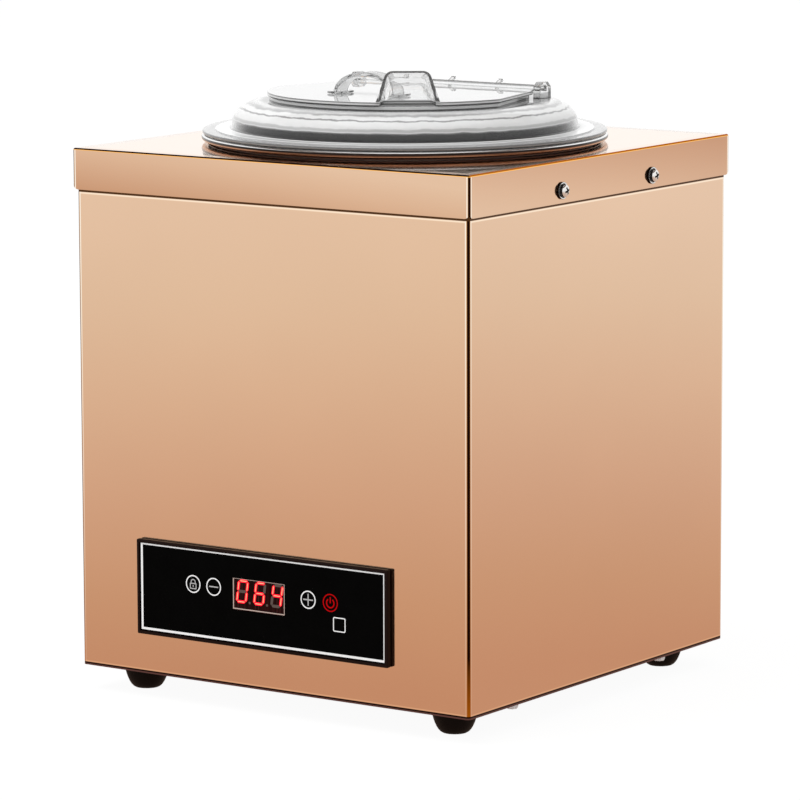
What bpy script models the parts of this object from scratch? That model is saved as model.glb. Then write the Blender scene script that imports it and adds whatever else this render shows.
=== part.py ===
"""Soup kettle warmer: a square sheet-metal cabinet with a heated well, a lift-out pot and a hinged clear lid.

Metres, +Z up. The pieces are placed about the cabinet's axis and -Y is the front. The last step
moves them all so that the origin is on the floor, under the middle of the footprint.
"""
from math import asin, atan2, cos, degrees, hypot, pi, radians, sin, sqrt, tan

import bmesh
import bpy
from mathutils import Matrix, Vector

# Gaps and cuts
gap = 0.0003
overrun = 0.0040
weld = 0.00001

# Facets
round_steps = 44
heater_steps = 24
small_steps = 16
screw_steps = 12
hidden_steps = 8
arc_steps = 3
corner_reach_share = 0.45

# Sheet metal
sheet = 0.0010

# Cover tray
cover_width = 0.2800
cover_depth = 0.2800
cover_skirt = 0.0244
cover_play = 0.0006
cover_edge_round = 0.0012

# Cabinet body
cabinet_height = 0.3074
cabinet_flange = 0.0140
cabinet_edge_round = 0.0022

# Base plate
base_sheet = 0.0016
base_inset_x = 0.0046
base_inset_y = 0.0088
vent_length = 0.0500
vent_width = 0.0050
vent_pitch = 0.0120
vent_count = 6
vent_row_y = 0.0700

# Feet
foot_height = 0.0128
foot_top_radius = 0.0132
foot_bottom_radius = 0.0078
foot_bulge = 0.0043
foot_bowl_height = 0.0102
foot_inset_x = 0.0230
foot_inset_y = 0.0176
foot_recess_radius = 0.0050
foot_recess_depth = 0.0060

# Screws with a pan head, and nuts
screw_radius = 0.0020
screw_head_radius = 0.0038
screw_head_height = 0.0026
screw_crown = 0.0012
screw_length = 0.0080
washer_radius = 0.0050
washer_thickness = 0.0008
nut_width = 0.0070
nut_height = 0.0032
clinch_width = 0.0090
clinch_height = 0.0030
cover_screw_spacing = 0.0973
cover_screw_shift = 0.0032
cover_screw_drop = 0.0171
base_screw_inset = 0.0492

# Pot
pot_margin = 0.0305
under_pot_space = 0.0676
pot_sheet = 0.0010
pot_corner = 0.0160
pot_ledge_round = 0.0020
rim_reach = 0.0110
rim_bead = 0.0019

# Well liner
well_play = 0.0020
well_flange_reach = 0.0070
well_floor_play = 0.0040
well_corner = 0.0140

# Heater under the well
heater_margin = 0.0295
heater_thickness = 0.0080
element_ring_inset = 0.0200
element_radius = 0.0033
element_gap_angle = 30.0
element_drop = 0.0140
clamp_inset = 0.0180
clamp_thickness = 0.0030
stud_radius = 0.0040
stud_length = 0.0230
clamp_nut_width = 0.0130
clamp_nut_height = 0.0065

# Insulation round the well
jacket_thickness = 0.0080
jacket_foot = 0.0180
jacket_head = 0.0120

# Probe and cutout
probe_radius = 0.0025
probe_length = 0.0260
probe_reach = 0.0120
probe_angle = 205.0
clip_sheet = 0.0008
clip_width = 0.0090
clip_foot = 0.0050
cutout_radius = 0.0085
cutout_cap_height = 0.0040
cutout_base_radius = 0.0070
cutout_base_height = 0.0060
cutout_tab_x = 0.0046
cutout_tab_thickness = 0.0010
cutout_tab_width = 0.0060
cutout_tab_length = 0.0050
cutout_clear = 0.0100
cutout_angle = 60.0

# Control panel in the front wall
panel_x = -0.0046
panel_z = 0.0676
panel_width = 0.1795
panel_height = 0.0567
panel_proud = 0.0040
panel_rim = 0.0020
panel_recess = 0.0005
panel_edge_round = 0.0008
overlay_thickness = 0.0012
neck_width = 0.1680
neck_height = 0.0450
neck_wall = 0.0020
neck_depth = 0.0030
neck_sink = 0.0010
barb_width = 0.0080
barb_proud = 0.0011
barb_depth = 0.0016
barb_x = 0.0504
display_x = -0.0060
display_z = 0.0705
display_width = 0.0376
display_height = 0.0190
board_width = 0.1580
board_height = 0.0380
board_thickness = 0.0016
board_setback = 0.0088
post_radius = 0.0030
post_inset = 0.0045
web_thickness = 0.0048
stake_radius = 0.0013
stake_head_radius = 0.0024
stake_head_height = 0.0012
touch_radius = 0.0036
touch_lock_x = -0.0550
touch_minus_x = -0.0401
touch_plus_x = 0.0282
touch_power_x = 0.0436
touch_row_z = 0.0712
touch_set_x = 0.0499
touch_set_z = 0.0590

# Power board on the base plate
power_x = -0.0300
power_inset = 0.0796
power_width = 0.1000
power_depth = 0.0640
standoff_height = 0.0060
standoff_radius = 0.0030
standoff_inset = 0.0050
transformer_width = 0.0340
transformer_depth = 0.0300
transformer_height = 0.0240
transformer_core_depth = 0.0156
transformer_bobbin_width = 0.0220
transformer_bobbin_height = 0.0172
transformer_round = 0.0014
transformer_shift_x = -0.0270
relay_width = 0.0190
relay_depth = 0.0155
relay_height = 0.0155
relay_round = 0.0006
relay_shift_x = 0.0220
relay_shift_y = 0.0090

# Terminal block and earth stud
terminal_inset = 0.0624
terminal_rear_inset = 0.0656
terminal_width = 0.0420
terminal_depth = 0.0200
terminal_height = 0.0130
terminal_step = 0.0065
terminal_ledge = 0.0056
terminal_ways = 4
terminal_slot = 0.0042
earth_shift_x = 0.0460
earth_inset = 0.0316
earth_radius = 0.0020
earth_length = 0.0140

# Cable gland in the rear wall
gland_inset = 0.0534
gland_z = 0.0420
gland_bore = 0.0045
gland_radius = 0.0080
gland_hex = 0.0220
gland_hex_depth = 0.0050
gland_stub = 0.0100
gland_dome_radius = 0.0100
gland_dome_length = 0.0160
gland_collar_length = 0.0090
locknut_hex = 0.0210
locknut_depth = 0.0050

# Leads inside the cabinet
lead_radius = 0.0012
lead_straight = 0.0036
lead_swing = 0.0130
sensor_lead_radius = 0.0010
panel_cable_radius = 0.0020
panel_cable_x = 0.0333

# Lid
lid_sheet = 0.0020
lid_flange_inset = 0.0005
lid_flange_thickness = 0.0020
lid_flange_width = 0.0080
lid_step_height = 0.0008
lid_spigot_play = 0.0008
lid_spigot_depth = 0.0084
lid_step_width = 0.0093
dome_foot_round = 0.0018
dome_wall_height = 0.0022
dome_shoulder_height = 0.0142
dome_shoulder_width = 0.0197

# Flap and the collar it closes on
flap_margin = 0.0015
flap_waist_y = -0.0180
flap_rear_narrowing = 0.0150
flap_notch_width = 0.0037
flap_notch_depth = 0.0070
flap_sheet = 0.0023
flap_corner_round = 0.0060
collar_height = 0.0026
collar_inset = 0.0012
mouth_inset = 0.0050
mouth_rear_inset = 0.0070
flap_open_angle = 105.0

# Hinge
hinge_inset = 0.0345
hinge_rise = 0.0010
barrel_radius = 0.0016
barrel_play = 0.0003
ear_play = 0.0010
ear_thickness = 0.0052
ear_depth = 0.0120
ear_rise = 0.0036
ear_sink = 0.0040
ear_corner_round = 0.0030
stop_spacing = 0.0340
stop_count = 3
stop_width = 0.0030
stop_thickness = 0.0015
stop_rest_angle = 30.0

# Ladle hood on the flap
hood_angle = -54.1
hood_inset = 0.0015
hood_length = 0.0125
hood_foot_half = 0.0190
hood_top_half = 0.0124
hood_height = 0.0205
hood_rear_foot_half = 0.0172
hood_rear_top_half = 0.0105
hood_rear_height = 0.0120
hood_corner_round = 0.0050
hood_sheet = 0.0020

# Strap handle on the flap
handle_inset = 0.0445
handle_half = 0.0215
handle_rise = 0.0133
handle_sheet = 0.0024
handle_width = 0.0120
handle_foot_length = 0.0055
handle_foot_width = 0.0075
handle_foot_height = 0.0012

# Levels, from the floor up
base_bottom = foot_height + gap
base_top = base_bottom + base_sheet
cabinet_bottom = base_top + gap
cabinet_top = cabinet_bottom + cabinet_height
cover_top = cabinet_top + gap + sheet
well_rim_top = cover_top + gap + sheet
pot_ledge_bottom = well_rim_top + gap
pot_rim_top = pot_ledge_bottom + rim_bead + rim_bead
pot_bottom = base_top + under_pot_space
pot_floor = pot_bottom + pot_sheet
well_floor = pot_bottom - well_floor_play
well_bottom = well_floor - sheet
heater_top = well_bottom - gap
heater_bottom = heater_top - heater_thickness
clamp_top = heater_bottom - gap
clamp_bottom = clamp_top - clamp_thickness
stud_end = well_bottom - stud_length
lid_bottom = pot_rim_top + gap
lid_flange_top = lid_bottom + lid_flange_thickness
lid_step_top = lid_flange_top + lid_step_height
dome_wall_top = lid_step_top + dome_wall_height
lid_top = dome_wall_top + dome_shoulder_height
collar_top = lid_top + collar_height
flap_bottom = collar_top + gap
flap_top = flap_bottom + flap_sheet
hinge_z = flap_top + hinge_rise

# Plan sizes that follow
cabinet_width = cover_width - 2 * (sheet + cover_play)
cabinet_depth = cover_depth - 2 * (sheet + cover_play)
front_y = -cabinet_depth / 2
rear_y = cabinet_depth / 2
side_x = cabinet_width / 2
base_width = cabinet_width - 2 * base_inset_x
base_depth = cabinet_depth - 2 * base_inset_y
foot_x = base_width / 2 - foot_inset_x
foot_y = base_depth / 2 - foot_inset_y
pot_radius = min(cover_width, cover_depth) / 2 - pot_margin
rim_radius = pot_radius + rim_reach
well_flange_radius = pot_radius + well_flange_reach
well_inner = pot_radius + well_play
well_outer = well_inner + sheet
cover_hole = well_outer + gap
heater_radius = pot_radius - heater_margin
element_ring_radius = heater_radius - element_ring_inset
clamp_radius = element_ring_radius - clamp_inset
cutout_place_radius = clamp_nut_width / 2 / cos(pi / 6) + cutout_radius + cutout_clear
probe_place_radius = heater_radius + probe_reach
base_screw_y = base_depth / 2 - base_screw_inset
power_y = power_inset - base_depth / 2
transformer_x = power_x + transformer_shift_x
relay_x = power_x + relay_shift_x
relay_y = power_y + relay_shift_y
terminal_x = terminal_inset - side_x
terminal_y = base_depth / 2 - terminal_rear_inset
earth_x = terminal_x + earth_shift_x
earth_y = base_depth / 2 - earth_inset
gland_x = gland_inset - side_x
lid_flange_radius = rim_radius - lid_flange_inset
lid_step_radius = lid_flange_radius - lid_flange_width
dome_radius = lid_step_radius - lid_step_width
dome_flat_radius = dome_radius - dome_shoulder_width
flap_radius = dome_flat_radius - flap_margin
flap_rear_half = flap_radius - flap_rear_narrowing
flap_notch_half = flap_rear_half - flap_notch_width
hinge_y = flap_radius - hinge_inset
flap_notch_y = hinge_y - flap_notch_depth
ear_inner_x = flap_notch_half + ear_play
hood_reach = flap_radius - hood_inset
handle_y = handle_inset - flap_radius

parts = bpy.data.collections.new("soup_kettle_warmer")
cutters = bpy.data.collections.new("cutters")
materials = {}


def clear_scene():
    """Remove whatever the scene holds, and link the two collections."""
    for thing in list(bpy.data.objects):
        bpy.data.objects.remove(thing, do_unlink=True)
    bpy.context.scene.collection.children.link(parts)
    bpy.context.scene.collection.children.link(cutters)


def material(name, colour, roughness, metallic=0.0, alpha=1.0):
    """A Principled material, made once for each name."""
    if name not in materials:
        made = bpy.data.materials.new(name)
        made.use_nodes = True
        shader = made.node_tree.nodes["Principled BSDF"]
        shader.inputs["Base Color"].default_value = (*colour, 1.0)
        shader.inputs["Roughness"].default_value = roughness
        shader.inputs["Metallic"].default_value = metallic
        shader.inputs["Alpha"].default_value = alpha
        made.diffuse_color = (*colour, alpha)
        materials[name] = made
    return materials[name]


def rose_steel():
    return material("rose_gold_steel", (0.86, 0.60, 0.42), 0.16, 1.0)


def plain_steel():
    return material("stainless_steel", (0.72, 0.72, 0.72), 0.22, 1.0)


def zinc():
    return material("zinc_plate", (0.55, 0.53, 0.50), 0.40, 1.0)


def chrome():
    return material("chrome_screws", (0.80, 0.80, 0.80), 0.10, 1.0)


def clear_plastic():
    return material("clear_polycarbonate", (0.93, 0.95, 0.96), 0.03, 0.0, 0.30)


def black_rubber():
    return material("black_rubber", (0.02, 0.02, 0.02), 0.75)


def black_plastic():
    return material("black_plastic", (0.03, 0.025, 0.025), 0.40)


def show(thing, finish):
    """Put a finished sub-part in the parts collection and give it its material."""
    for holder in list(thing.users_collection):
        holder.objects.unlink(thing)
    parts.objects.link(thing)
    thing.data.materials.clear()
    thing.data.materials.append(finish)
    thing.hide_render = False
    thing.display_type = "TEXTURED"
    return thing


def hide(thing):
    """Keep a cutter or a joined shape as a guide that is not rendered."""
    for holder in list(thing.users_collection):
        holder.objects.unlink(thing)
    cutters.objects.link(thing)
    thing.hide_render = True
    thing.display_type = "WIRE"
    return thing


def smooth(mesh, angle=radians(35)):
    mesh.shade_smooth()
    mesh.set_sharp_from_angle(angle=angle)


def from_bmesh(name, bm):
    mesh = bpy.data.meshes.new(name)
    bm.to_mesh(mesh)
    bm.free()
    thing = bpy.data.objects.new(name, mesh)
    return hide(thing)


def settled(thing):
    """The mesh that an object has after its modifiers."""
    bpy.context.view_layer.update()
    graph = bpy.context.evaluated_depsgraph_get()
    return bpy.data.meshes.new_from_object(thing.evaluated_get(graph))


def to_mesh(thing):
    """Turn a curve into a welded mesh object in the same place."""
    name = thing.name
    mesh = settled(thing)
    bm = bmesh.new()
    bm.from_mesh(mesh)
    bmesh.ops.remove_doubles(bm, verts=bm.verts, dist=weld)
    bm.to_mesh(mesh)
    bm.free()
    place = thing.matrix_world.copy()
    bpy.data.objects.remove(thing, do_unlink=True)
    made = bpy.data.objects.new(name, mesh)
    made.matrix_world = place
    return hide(made)


def group(name, pieces):
    """Gather several cutters into one, in world coordinates."""
    bm = bmesh.new()
    for piece in pieces:
        mesh = settled(piece)
        mesh.transform(piece.matrix_world)
        bm.from_mesh(mesh)
        bpy.data.meshes.remove(mesh)
    for piece in pieces:
        bpy.data.objects.remove(piece, do_unlink=True)
    return from_bmesh(name, bm)


def block(name, low, high, edge_round=0.0, upright_only=False, segments=2):
    """A box between two corners, with its edges rounded if asked."""
    bm = bmesh.new()
    bmesh.ops.create_cube(bm, size=1)
    low = Vector(low)
    high = Vector(high)
    span = high - low
    bmesh.ops.scale(bm, vec=span, verts=bm.verts)
    bmesh.ops.translate(bm, vec=(low + high) / 2, verts=bm.verts)
    if edge_round > 0:
        edges = list(bm.edges)
        if upright_only:
            edges = [e for e in bm.edges if abs((e.verts[0].co - e.verts[1].co).normalized().z) > 0.9]
        bmesh.ops.bevel(bm, geom=edges, offset=edge_round, segments=segments, profile=0.5, affect="EDGES")
    return from_bmesh(name, bm)


def rod(name, start, end, radius, end_radius=None, steps=small_steps):
    """A cylinder or cone from one point to another."""
    start = Vector(start)
    end = Vector(end)
    run = end - start
    bm = bmesh.new()
    other = radius if end_radius is None else end_radius
    bmesh.ops.create_cone(bm, cap_ends=True, segments=steps, radius1=radius, radius2=other, depth=run.length)
    turn = run.to_track_quat("Z", "Y").to_matrix().to_4x4()
    bmesh.ops.transform(bm, matrix=Matrix.Translation((start + end) / 2) @ turn, verts=bm.verts)
    made = from_bmesh(name, bm)
    smooth(made.data)
    return made


def hexagon(name, start, end, across_flats):
    """A hexagonal bar from one point to another."""
    return rod(name, start, end, across_flats / 2 / cos(pi / 6), steps=6)


def turned(name, profile, closed=False, steps=round_steps, place=None):
    """Turn a profile of (radius, height) points about Z; at +X it runs down its outer side."""
    mesh = bpy.data.meshes.new(name)
    count = len(profile)
    edges = [(i, i + 1) for i in range(count - 1)]
    if closed:
        edges.append((count - 1, 0))
    mesh.from_pydata([(r, 0, z) for r, z in profile], edges, [])
    thing = hide(bpy.data.objects.new(name, mesh))
    screw = thing.modifiers.new("turn", "SCREW")
    screw.axis = "Z"
    screw.angle = 2 * pi
    screw.steps = steps
    screw.render_steps = steps
    screw.use_merge_vertices = True
    screw.merge_threshold = weld
    screw.use_smooth_shade = False
    if place is not None:
        thing.matrix_world = place
    return thing


def slab(name, outline, low, high):
    """A flat outline in XY, raised between two heights."""
    curve = bpy.data.curves.new(name, "CURVE")
    curve.dimensions = "2D"
    curve.fill_mode = "BOTH"
    curve.extrude = (high - low) / 2
    curve.render_resolution_u = 0
    spline = curve.splines.new("POLY")
    spline.points.add(len(outline) - 1)
    for point, (x, y) in zip(spline.points, outline):
        point.co = (x, y, 0, 1)
    spline.use_cyclic_u = True
    thing = hide(bpy.data.objects.new(name, curve))
    thing.location = (0, 0, (low + high) / 2)
    return to_mesh(thing)


def upright_slab(name, outline, centre, facing, width):
    """A flat outline in (across, height), standing up, with its thickness along facing."""
    made = slab(name, outline, -width / 2, width / 2)
    facing = Vector(facing).normalized()
    up = Vector((0, 0, 1))
    across = up.cross(facing)
    turn = Matrix((across, up, facing)).transposed().to_4x4()
    made.matrix_world = Matrix.Translation(centre) @ turn @ made.matrix_world
    return made


def lead(name, route, radius, sides=1):
    """A wire along a smooth curve through a few points."""
    curve = bpy.data.curves.new(name, "CURVE")
    curve.dimensions = "3D"
    curve.bevel_depth = radius
    curve.bevel_resolution = sides
    curve.use_fill_caps = True
    curve.resolution_u = 3
    curve.render_resolution_u = 0
    spline = curve.splines.new("BEZIER")
    spline.bezier_points.add(len(route) - 1)
    for point, place in zip(spline.bezier_points, route):
        point.co = place
        point.handle_left_type = "AUTO"
        point.handle_right_type = "AUTO"
    thing = hide(bpy.data.objects.new(name, curve))
    return to_mesh(thing)


def cut(thing, *tools):
    """Take each tool's shape away from an object."""
    for tool in tools:
        step = thing.modifiers.new("cut", "BOOLEAN")
        step.operation = "DIFFERENCE"
        step.solver = "EXACT"
        step.object = hide(tool)
    return thing


def join(thing, *others):
    """Fuse other shapes with an object."""
    for other in others:
        step = thing.modifiers.new("join", "BOOLEAN")
        step.operation = "UNION"
        step.solver = "EXACT"
        step.object = hide(other)
    return thing


def arc(centre_r, centre_z, radius, start, end, steps=arc_steps, height=None):
    """Points of a circular or elliptical arc, angles in degrees from +X."""
    tall = radius if height is None else height
    points = []
    for i in range(steps + 1):
        turn = radians(start + (end - start) * i / steps)
        points.append((centre_r + radius * cos(turn), centre_z + tall * sin(turn)))
    return points


def rounded(corners, radius, steps=arc_steps):
    """An outline whose corners are replaced by arcs of one radius, limited by the sides."""
    outline = []
    count = len(corners)
    for i in range(count):
        here = Vector(corners[i])
        before = Vector(corners[i - 1]) - here
        after = Vector(corners[(i + 1) % count]) - here
        half_angle = before.angle(after) / 2
        longest = min(before.length, after.length) * corner_reach_share
        reach = min(radius / tan(half_angle), longest)
        size = reach * tan(half_angle)
        middle = here + (before.normalized() + after.normalized()).normalized() * hypot(reach, size)
        first = here + before.normalized() * reach - middle
        last = here + after.normalized() * reach - middle
        sweep = first.angle_signed(last)
        for k in range(steps + 1):
            spoke = first.copy()
            spoke.rotate(Matrix.Rotation(-sweep * k / steps, 2))
            outline.append(tuple(middle + spoke))
    return outline


def carry(thing, empty):
    """Parent a piece to an empty, leaving it where it is."""
    bpy.context.view_layer.update()
    thing.parent = empty
    thing.matrix_parent_inverse = empty.matrix_world.inverted()
    return thing


def joint_empty(name, place, parent=None):
    empty = bpy.data.objects.new(name, None)
    parts.objects.link(empty)
    empty.location = place
    if parent is not None:
        carry(empty, parent)
    return empty


def centre_footprint():
    """Hang all fixed pieces on one empty, and move it so that the footprint's middle is the origin."""
    root = joint_empty("warmer", (0, 0, 0))
    for thing in list(parts.objects):
        if thing is not root and thing.parent is None:
            carry(thing, root)
    for tool in cutters.objects:
        carry(tool, root)
    reach = rear_y + gap + gland_hex_depth + gland_dome_length
    root.location.y = (cabinet_depth / 2 + panel_proud - reach) / 2


def pan_screw(name, head_face, direction, length, radius=screw_radius, steps=hidden_steps):
    """A pan-head screw: its head stands on head_face, and its shank runs along direction."""
    profile = [(0, screw_head_height)]
    profile += arc(screw_head_radius - screw_crown, screw_head_height - screw_crown, screw_crown, 90, 0, 2)
    profile += [(screw_head_radius, 0), (radius, 0), (radius, -length), (0, -length)]
    turn = (-Vector(direction)).to_track_quat("Z", "Y").to_matrix().to_4x4()
    place = Matrix.Translation(head_face) @ turn
    return turned(name, profile, steps=steps, place=place)


def ring(name, low_face, direction, inner, outer, thickness, steps=screw_steps):
    """A flat washer or ring that stands on low_face."""
    profile = [(inner, thickness), (outer, thickness), (outer, 0), (inner, 0)]
    turn = Vector(direction).to_track_quat("Z", "Y").to_matrix().to_4x4()
    return turned(name, profile, closed=True, steps=steps, place=Matrix.Translation(low_face) @ turn)


def hex_nut(name, low_face, direction, across_flats, bore, height):
    """A hexagonal nut that stands on low_face, with a plain bore."""
    start = Vector(low_face)
    run = Vector(direction).normalized()
    made = hexagon(name, start, start + run * height, across_flats)
    hole = rod(name + "_bore", start - run * overrun, start + run * (height + overrun), bore)
    return cut(made, hole)


def corner_names():
    return ("left_front", "left_rear", "right_front", "right_rear")


def cover_screw_places():
    """Where the cover's side screws stand: (x on the skirt's outer face, y, z, side)."""
    z = cover_top - cover_screw_drop
    places = []
    for side in (-1, 1):
        for end in (-1, 1):
            y = cover_screw_shift + end * cover_screw_spacing / 2
            places.append((side * cover_width / 2, y, z, side))
    return places


def base_screw_places():
    """Where the base plate is screwed to the cabinet's bottom flange."""
    flange_inner = side_x - cabinet_flange
    x = (flange_inner + base_width / 2) / 2
    return [(sx * x, sy * base_screw_y) for sx in (-1, 1) for sy in (-1, 1)]


def foot_places():
    return [(sx * foot_x, sy * foot_y) for sx in (-1, 1) for sy in (-1, 1)]


def make_cabinet():
    """The wrap of four walls, with a flange turned in at the top and at the bottom."""
    low = (-side_x, front_y, cabinet_bottom)
    high = (side_x, rear_y, cabinet_top)
    body = block("cabinet_body", low, high, cabinet_edge_round, upright_only=True)
    inner_low = (low[0] + sheet, low[1] + sheet, low[2] + sheet)
    inner_high = (high[0] - sheet, high[1] - sheet, high[2] - sheet)
    cut(body, block("cabinet_hollow", inner_low, inner_high, cabinet_edge_round - sheet, upright_only=True))
    mouth_low = (low[0] + cabinet_flange, low[1] + cabinet_flange, low[2] - overrun)
    mouth_high = (high[0] - cabinet_flange, high[1] - cabinet_flange, high[2] + overrun)
    cut(body, block("cabinet_mouths", mouth_low, mouth_high))
    window_low = (panel_x - neck_width / 2 - gap, front_y - overrun, panel_z - neck_height / 2 - gap)
    window_high = (panel_x + neck_width / 2 + gap, front_y + sheet + overrun, panel_z + neck_height / 2 + gap)
    cut(body, block("panel_window", window_low, window_high))
    hole_start = (gland_x, rear_y - sheet - overrun, gland_z)
    hole_end = (gland_x, rear_y + overrun, gland_z)
    cut(body, rod("gland_hole", hole_start, hole_end, gland_radius + gap))
    for i, (x, y, z, side) in enumerate(cover_screw_places()):
        start = (x + side * overrun, y, z)
        end = (x - side * (sheet + cover_play + sheet + overrun), y, z)
        cut(body, rod(f"cabinet_screw_hole_{i}", start, end, screw_radius + gap, steps=screw_steps))
    for i, (x, y) in enumerate(base_screw_places()):
        start = (x, y, cabinet_bottom - overrun)
        end = (x, y, cabinet_bottom + sheet + overrun)
        cut(body, rod(f"flange_screw_hole_{i}", start, end, screw_radius + gap, steps=hidden_steps))
    show(body, rose_steel())


def make_cover():
    """The tray over the top: a folded skirt, and a round hole for the well."""
    half_x = cover_width / 2
    half_y = cover_depth / 2
    low = (-half_x, -half_y, cover_top - cover_skirt)
    high = (half_x, half_y, cover_top)
    tray = block("cover_tray", low, high)
    fold = tray.modifiers.new("fold", "BEVEL")
    fold.width = cover_edge_round
    fold.segments = 2
    fold.limit_method = "ANGLE"
    inner_low = (low[0] + sheet, low[1] + sheet, low[2] - overrun)
    inner_high = (high[0] - sheet, high[1] - sheet, high[2] - sheet)
    cut(tray, block("cover_hollow", inner_low, inner_high))
    hole_profile = [(0, cover_top + overrun), (cover_hole, cover_top + overrun),
                    (cover_hole, cover_top - sheet - overrun), (0, cover_top - sheet - overrun)]
    cut(tray, turned("cover_hole", hole_profile))
    for i, (x, y, z, side) in enumerate(cover_screw_places()):
        start = (x + side * overrun, y, z)
        end = (x - side * (sheet + cover_play), y, z)
        cut(tray, rod(f"cover_screw_hole_{i}", start, end, screw_radius + gap, steps=screw_steps))
    show(tray, rose_steel())


def make_cover_screws():
    """Two screws with washers in each side of the cover's skirt."""
    bore = screw_radius + gap
    for name, (x, y, z, side) in zip(corner_names(), cover_screw_places()):
        seat = x + side * gap
        face = seat + side * (washer_thickness + gap)
        screw = pan_screw(f"cover_screw_{name}", (face, y, z), (-side, 0, 0), screw_length, steps=screw_steps)
        show(screw, chrome())
        under = (seat, y, z)
        washer = ring(f"cover_washer_{name}", under, (side, 0, 0), bore, washer_radius, washer_thickness)
        show(washer, chrome())


def standoff_places():
    x = power_width / 2 - standoff_inset
    y = power_depth / 2 - standoff_inset
    return [(power_x + sx * x, power_y + sy * y) for sx in (-1, 1) for sy in (-1, 1)]


def staked_post(name, foot, along, seat, board, radius):
    """A post that carries a board: a shank up to the seat, a pin through the board and a head on it."""
    axis = Vector(along)
    start = Vector(foot)
    shoulder = start + axis * seat
    through = shoulder + axis * (gap + board + gap)
    post = rod(name, start, shoulder, radius, steps=hidden_steps)
    pin = rod(name + "_pin", shoulder - axis * gap, through + axis * gap, stake_radius, steps=hidden_steps)
    head = rod(name + "_head", through, through + axis * stake_head_height, stake_head_radius, stake_radius,
               steps=hidden_steps)
    return post, pin, head


def make_base():
    """The base plate: two rows of vents, clinch nuts for the feet and posts for the supply board."""
    low = (-base_width / 2, -base_depth / 2, base_bottom)
    high = (base_width / 2, base_depth / 2, base_top)
    plate = block("base_plate", low, high)
    middle = (base_bottom + base_top) / 2
    for i, (x, y) in enumerate(foot_places()):
        nut_top = (x, y, base_top + clinch_height)
        join(plate, hexagon(f"clinch_nut_{i}", (x, y, middle), nut_top, clinch_width))
    for i, (x, y) in enumerate(standoff_places()):
        rise = base_top - middle + standoff_height
        foot = (x, y, middle)
        post = staked_post(f"standoff_{i}", foot, (0, 0, 1), rise, board_thickness, standoff_radius)
        join(plate, *post)
    tools = []
    for row in (-1, 1):
        for i in range(vent_count):
            x = (i - (vent_count - 1) / 2) * vent_pitch
            y = row * vent_row_y
            vent_low = (x - vent_width / 2, y - vent_length / 2, base_bottom - overrun)
            vent_high = (x + vent_width / 2, y + vent_length / 2, base_top + overrun)
            tools.append(block(f"vent_{row}_{i}", vent_low, vent_high))
    for i, (x, y) in enumerate(base_screw_places() + foot_places() + [(earth_x, earth_y)]):
        start = (x, y, base_bottom - overrun)
        end = (x, y, base_top + clinch_height + overrun)
        tools.append(rod(f"base_hole_{i}", start, end, screw_radius + gap, steps=hidden_steps))
    cut(plate, group("base_cutters", tools))
    show(plate, zinc())
    for name, (x, y) in zip(corner_names(), base_screw_places()):
        show(pan_screw(f"base_screw_{name}", (x, y, base_bottom - gap), (0, 0, 1), screw_length), chrome())


def make_feet():
    """Four bowl-shaped rubber feet, each with a screw up through it into the base plate's clinch nut."""
    bore = screw_radius + gap
    profile = [(bore, foot_height), (foot_top_radius, foot_height)]
    profile += arc(foot_top_radius - foot_bulge, foot_bowl_height, foot_bulge, 0, -90, 3, foot_bowl_height)
    profile[-1] = (foot_bottom_radius, 0)
    profile += [(foot_recess_radius, 0), (foot_recess_radius, foot_recess_depth), (bore, foot_recess_depth)]
    for name, (x, y) in zip(corner_names(), foot_places()):
        place = Matrix.Translation((x, y, 0))
        foot = turned(f"foot_{name}", profile, closed=True, steps=small_steps, place=place)
        show(foot, black_rubber())
        length = base_top + clinch_height - foot_recess_depth + gap
        show(pan_screw(f"foot_screw_{name}", (x, y, foot_recess_depth - gap), (0, 0, 1), length), chrome())


def make_well():
    """The fixed liner that the pot hangs in, with the stud that holds the heater."""
    profile = [(0, well_floor)]
    inner_corner = well_corner
    profile += arc(well_inner - inner_corner, well_floor + inner_corner, inner_corner, -90, 0)
    profile += [(well_inner, well_rim_top), (well_flange_radius, well_rim_top)]
    profile += [(well_flange_radius, well_rim_top - sheet), (well_outer, well_rim_top - sheet)]
    outer_corner = inner_corner + sheet
    profile += arc(well_outer - outer_corner, well_bottom + outer_corner, outer_corner, 0, -90)
    profile += [(0, well_bottom)]
    well = turned("well_liner", profile)
    join(well, rod("heater_stud", (0, 0, well_bottom + sheet / 2), (0, 0, stud_end), stud_radius))
    show(well, plain_steel())


def make_jacket():
    """The felt sleeve round the well."""
    inner = well_outer + gap
    outer = inner + jacket_thickness
    low = well_bottom + jacket_foot
    high = cabinet_top - jacket_head
    profile = [(inner, high), (outer, high), (outer, low), (inner, low)]
    jacket = turned("insulation_jacket", profile, closed=True)
    show(jacket, material("felt", (0.80, 0.78, 0.72), 0.95))


def element_ends():
    """Plan places of the element's two terminals."""
    half = radians(element_gap_angle) / 2
    x = element_ring_radius * sin(half)
    y = -element_ring_radius * cos(half)
    return [(-x, y), (x, y)]


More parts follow.
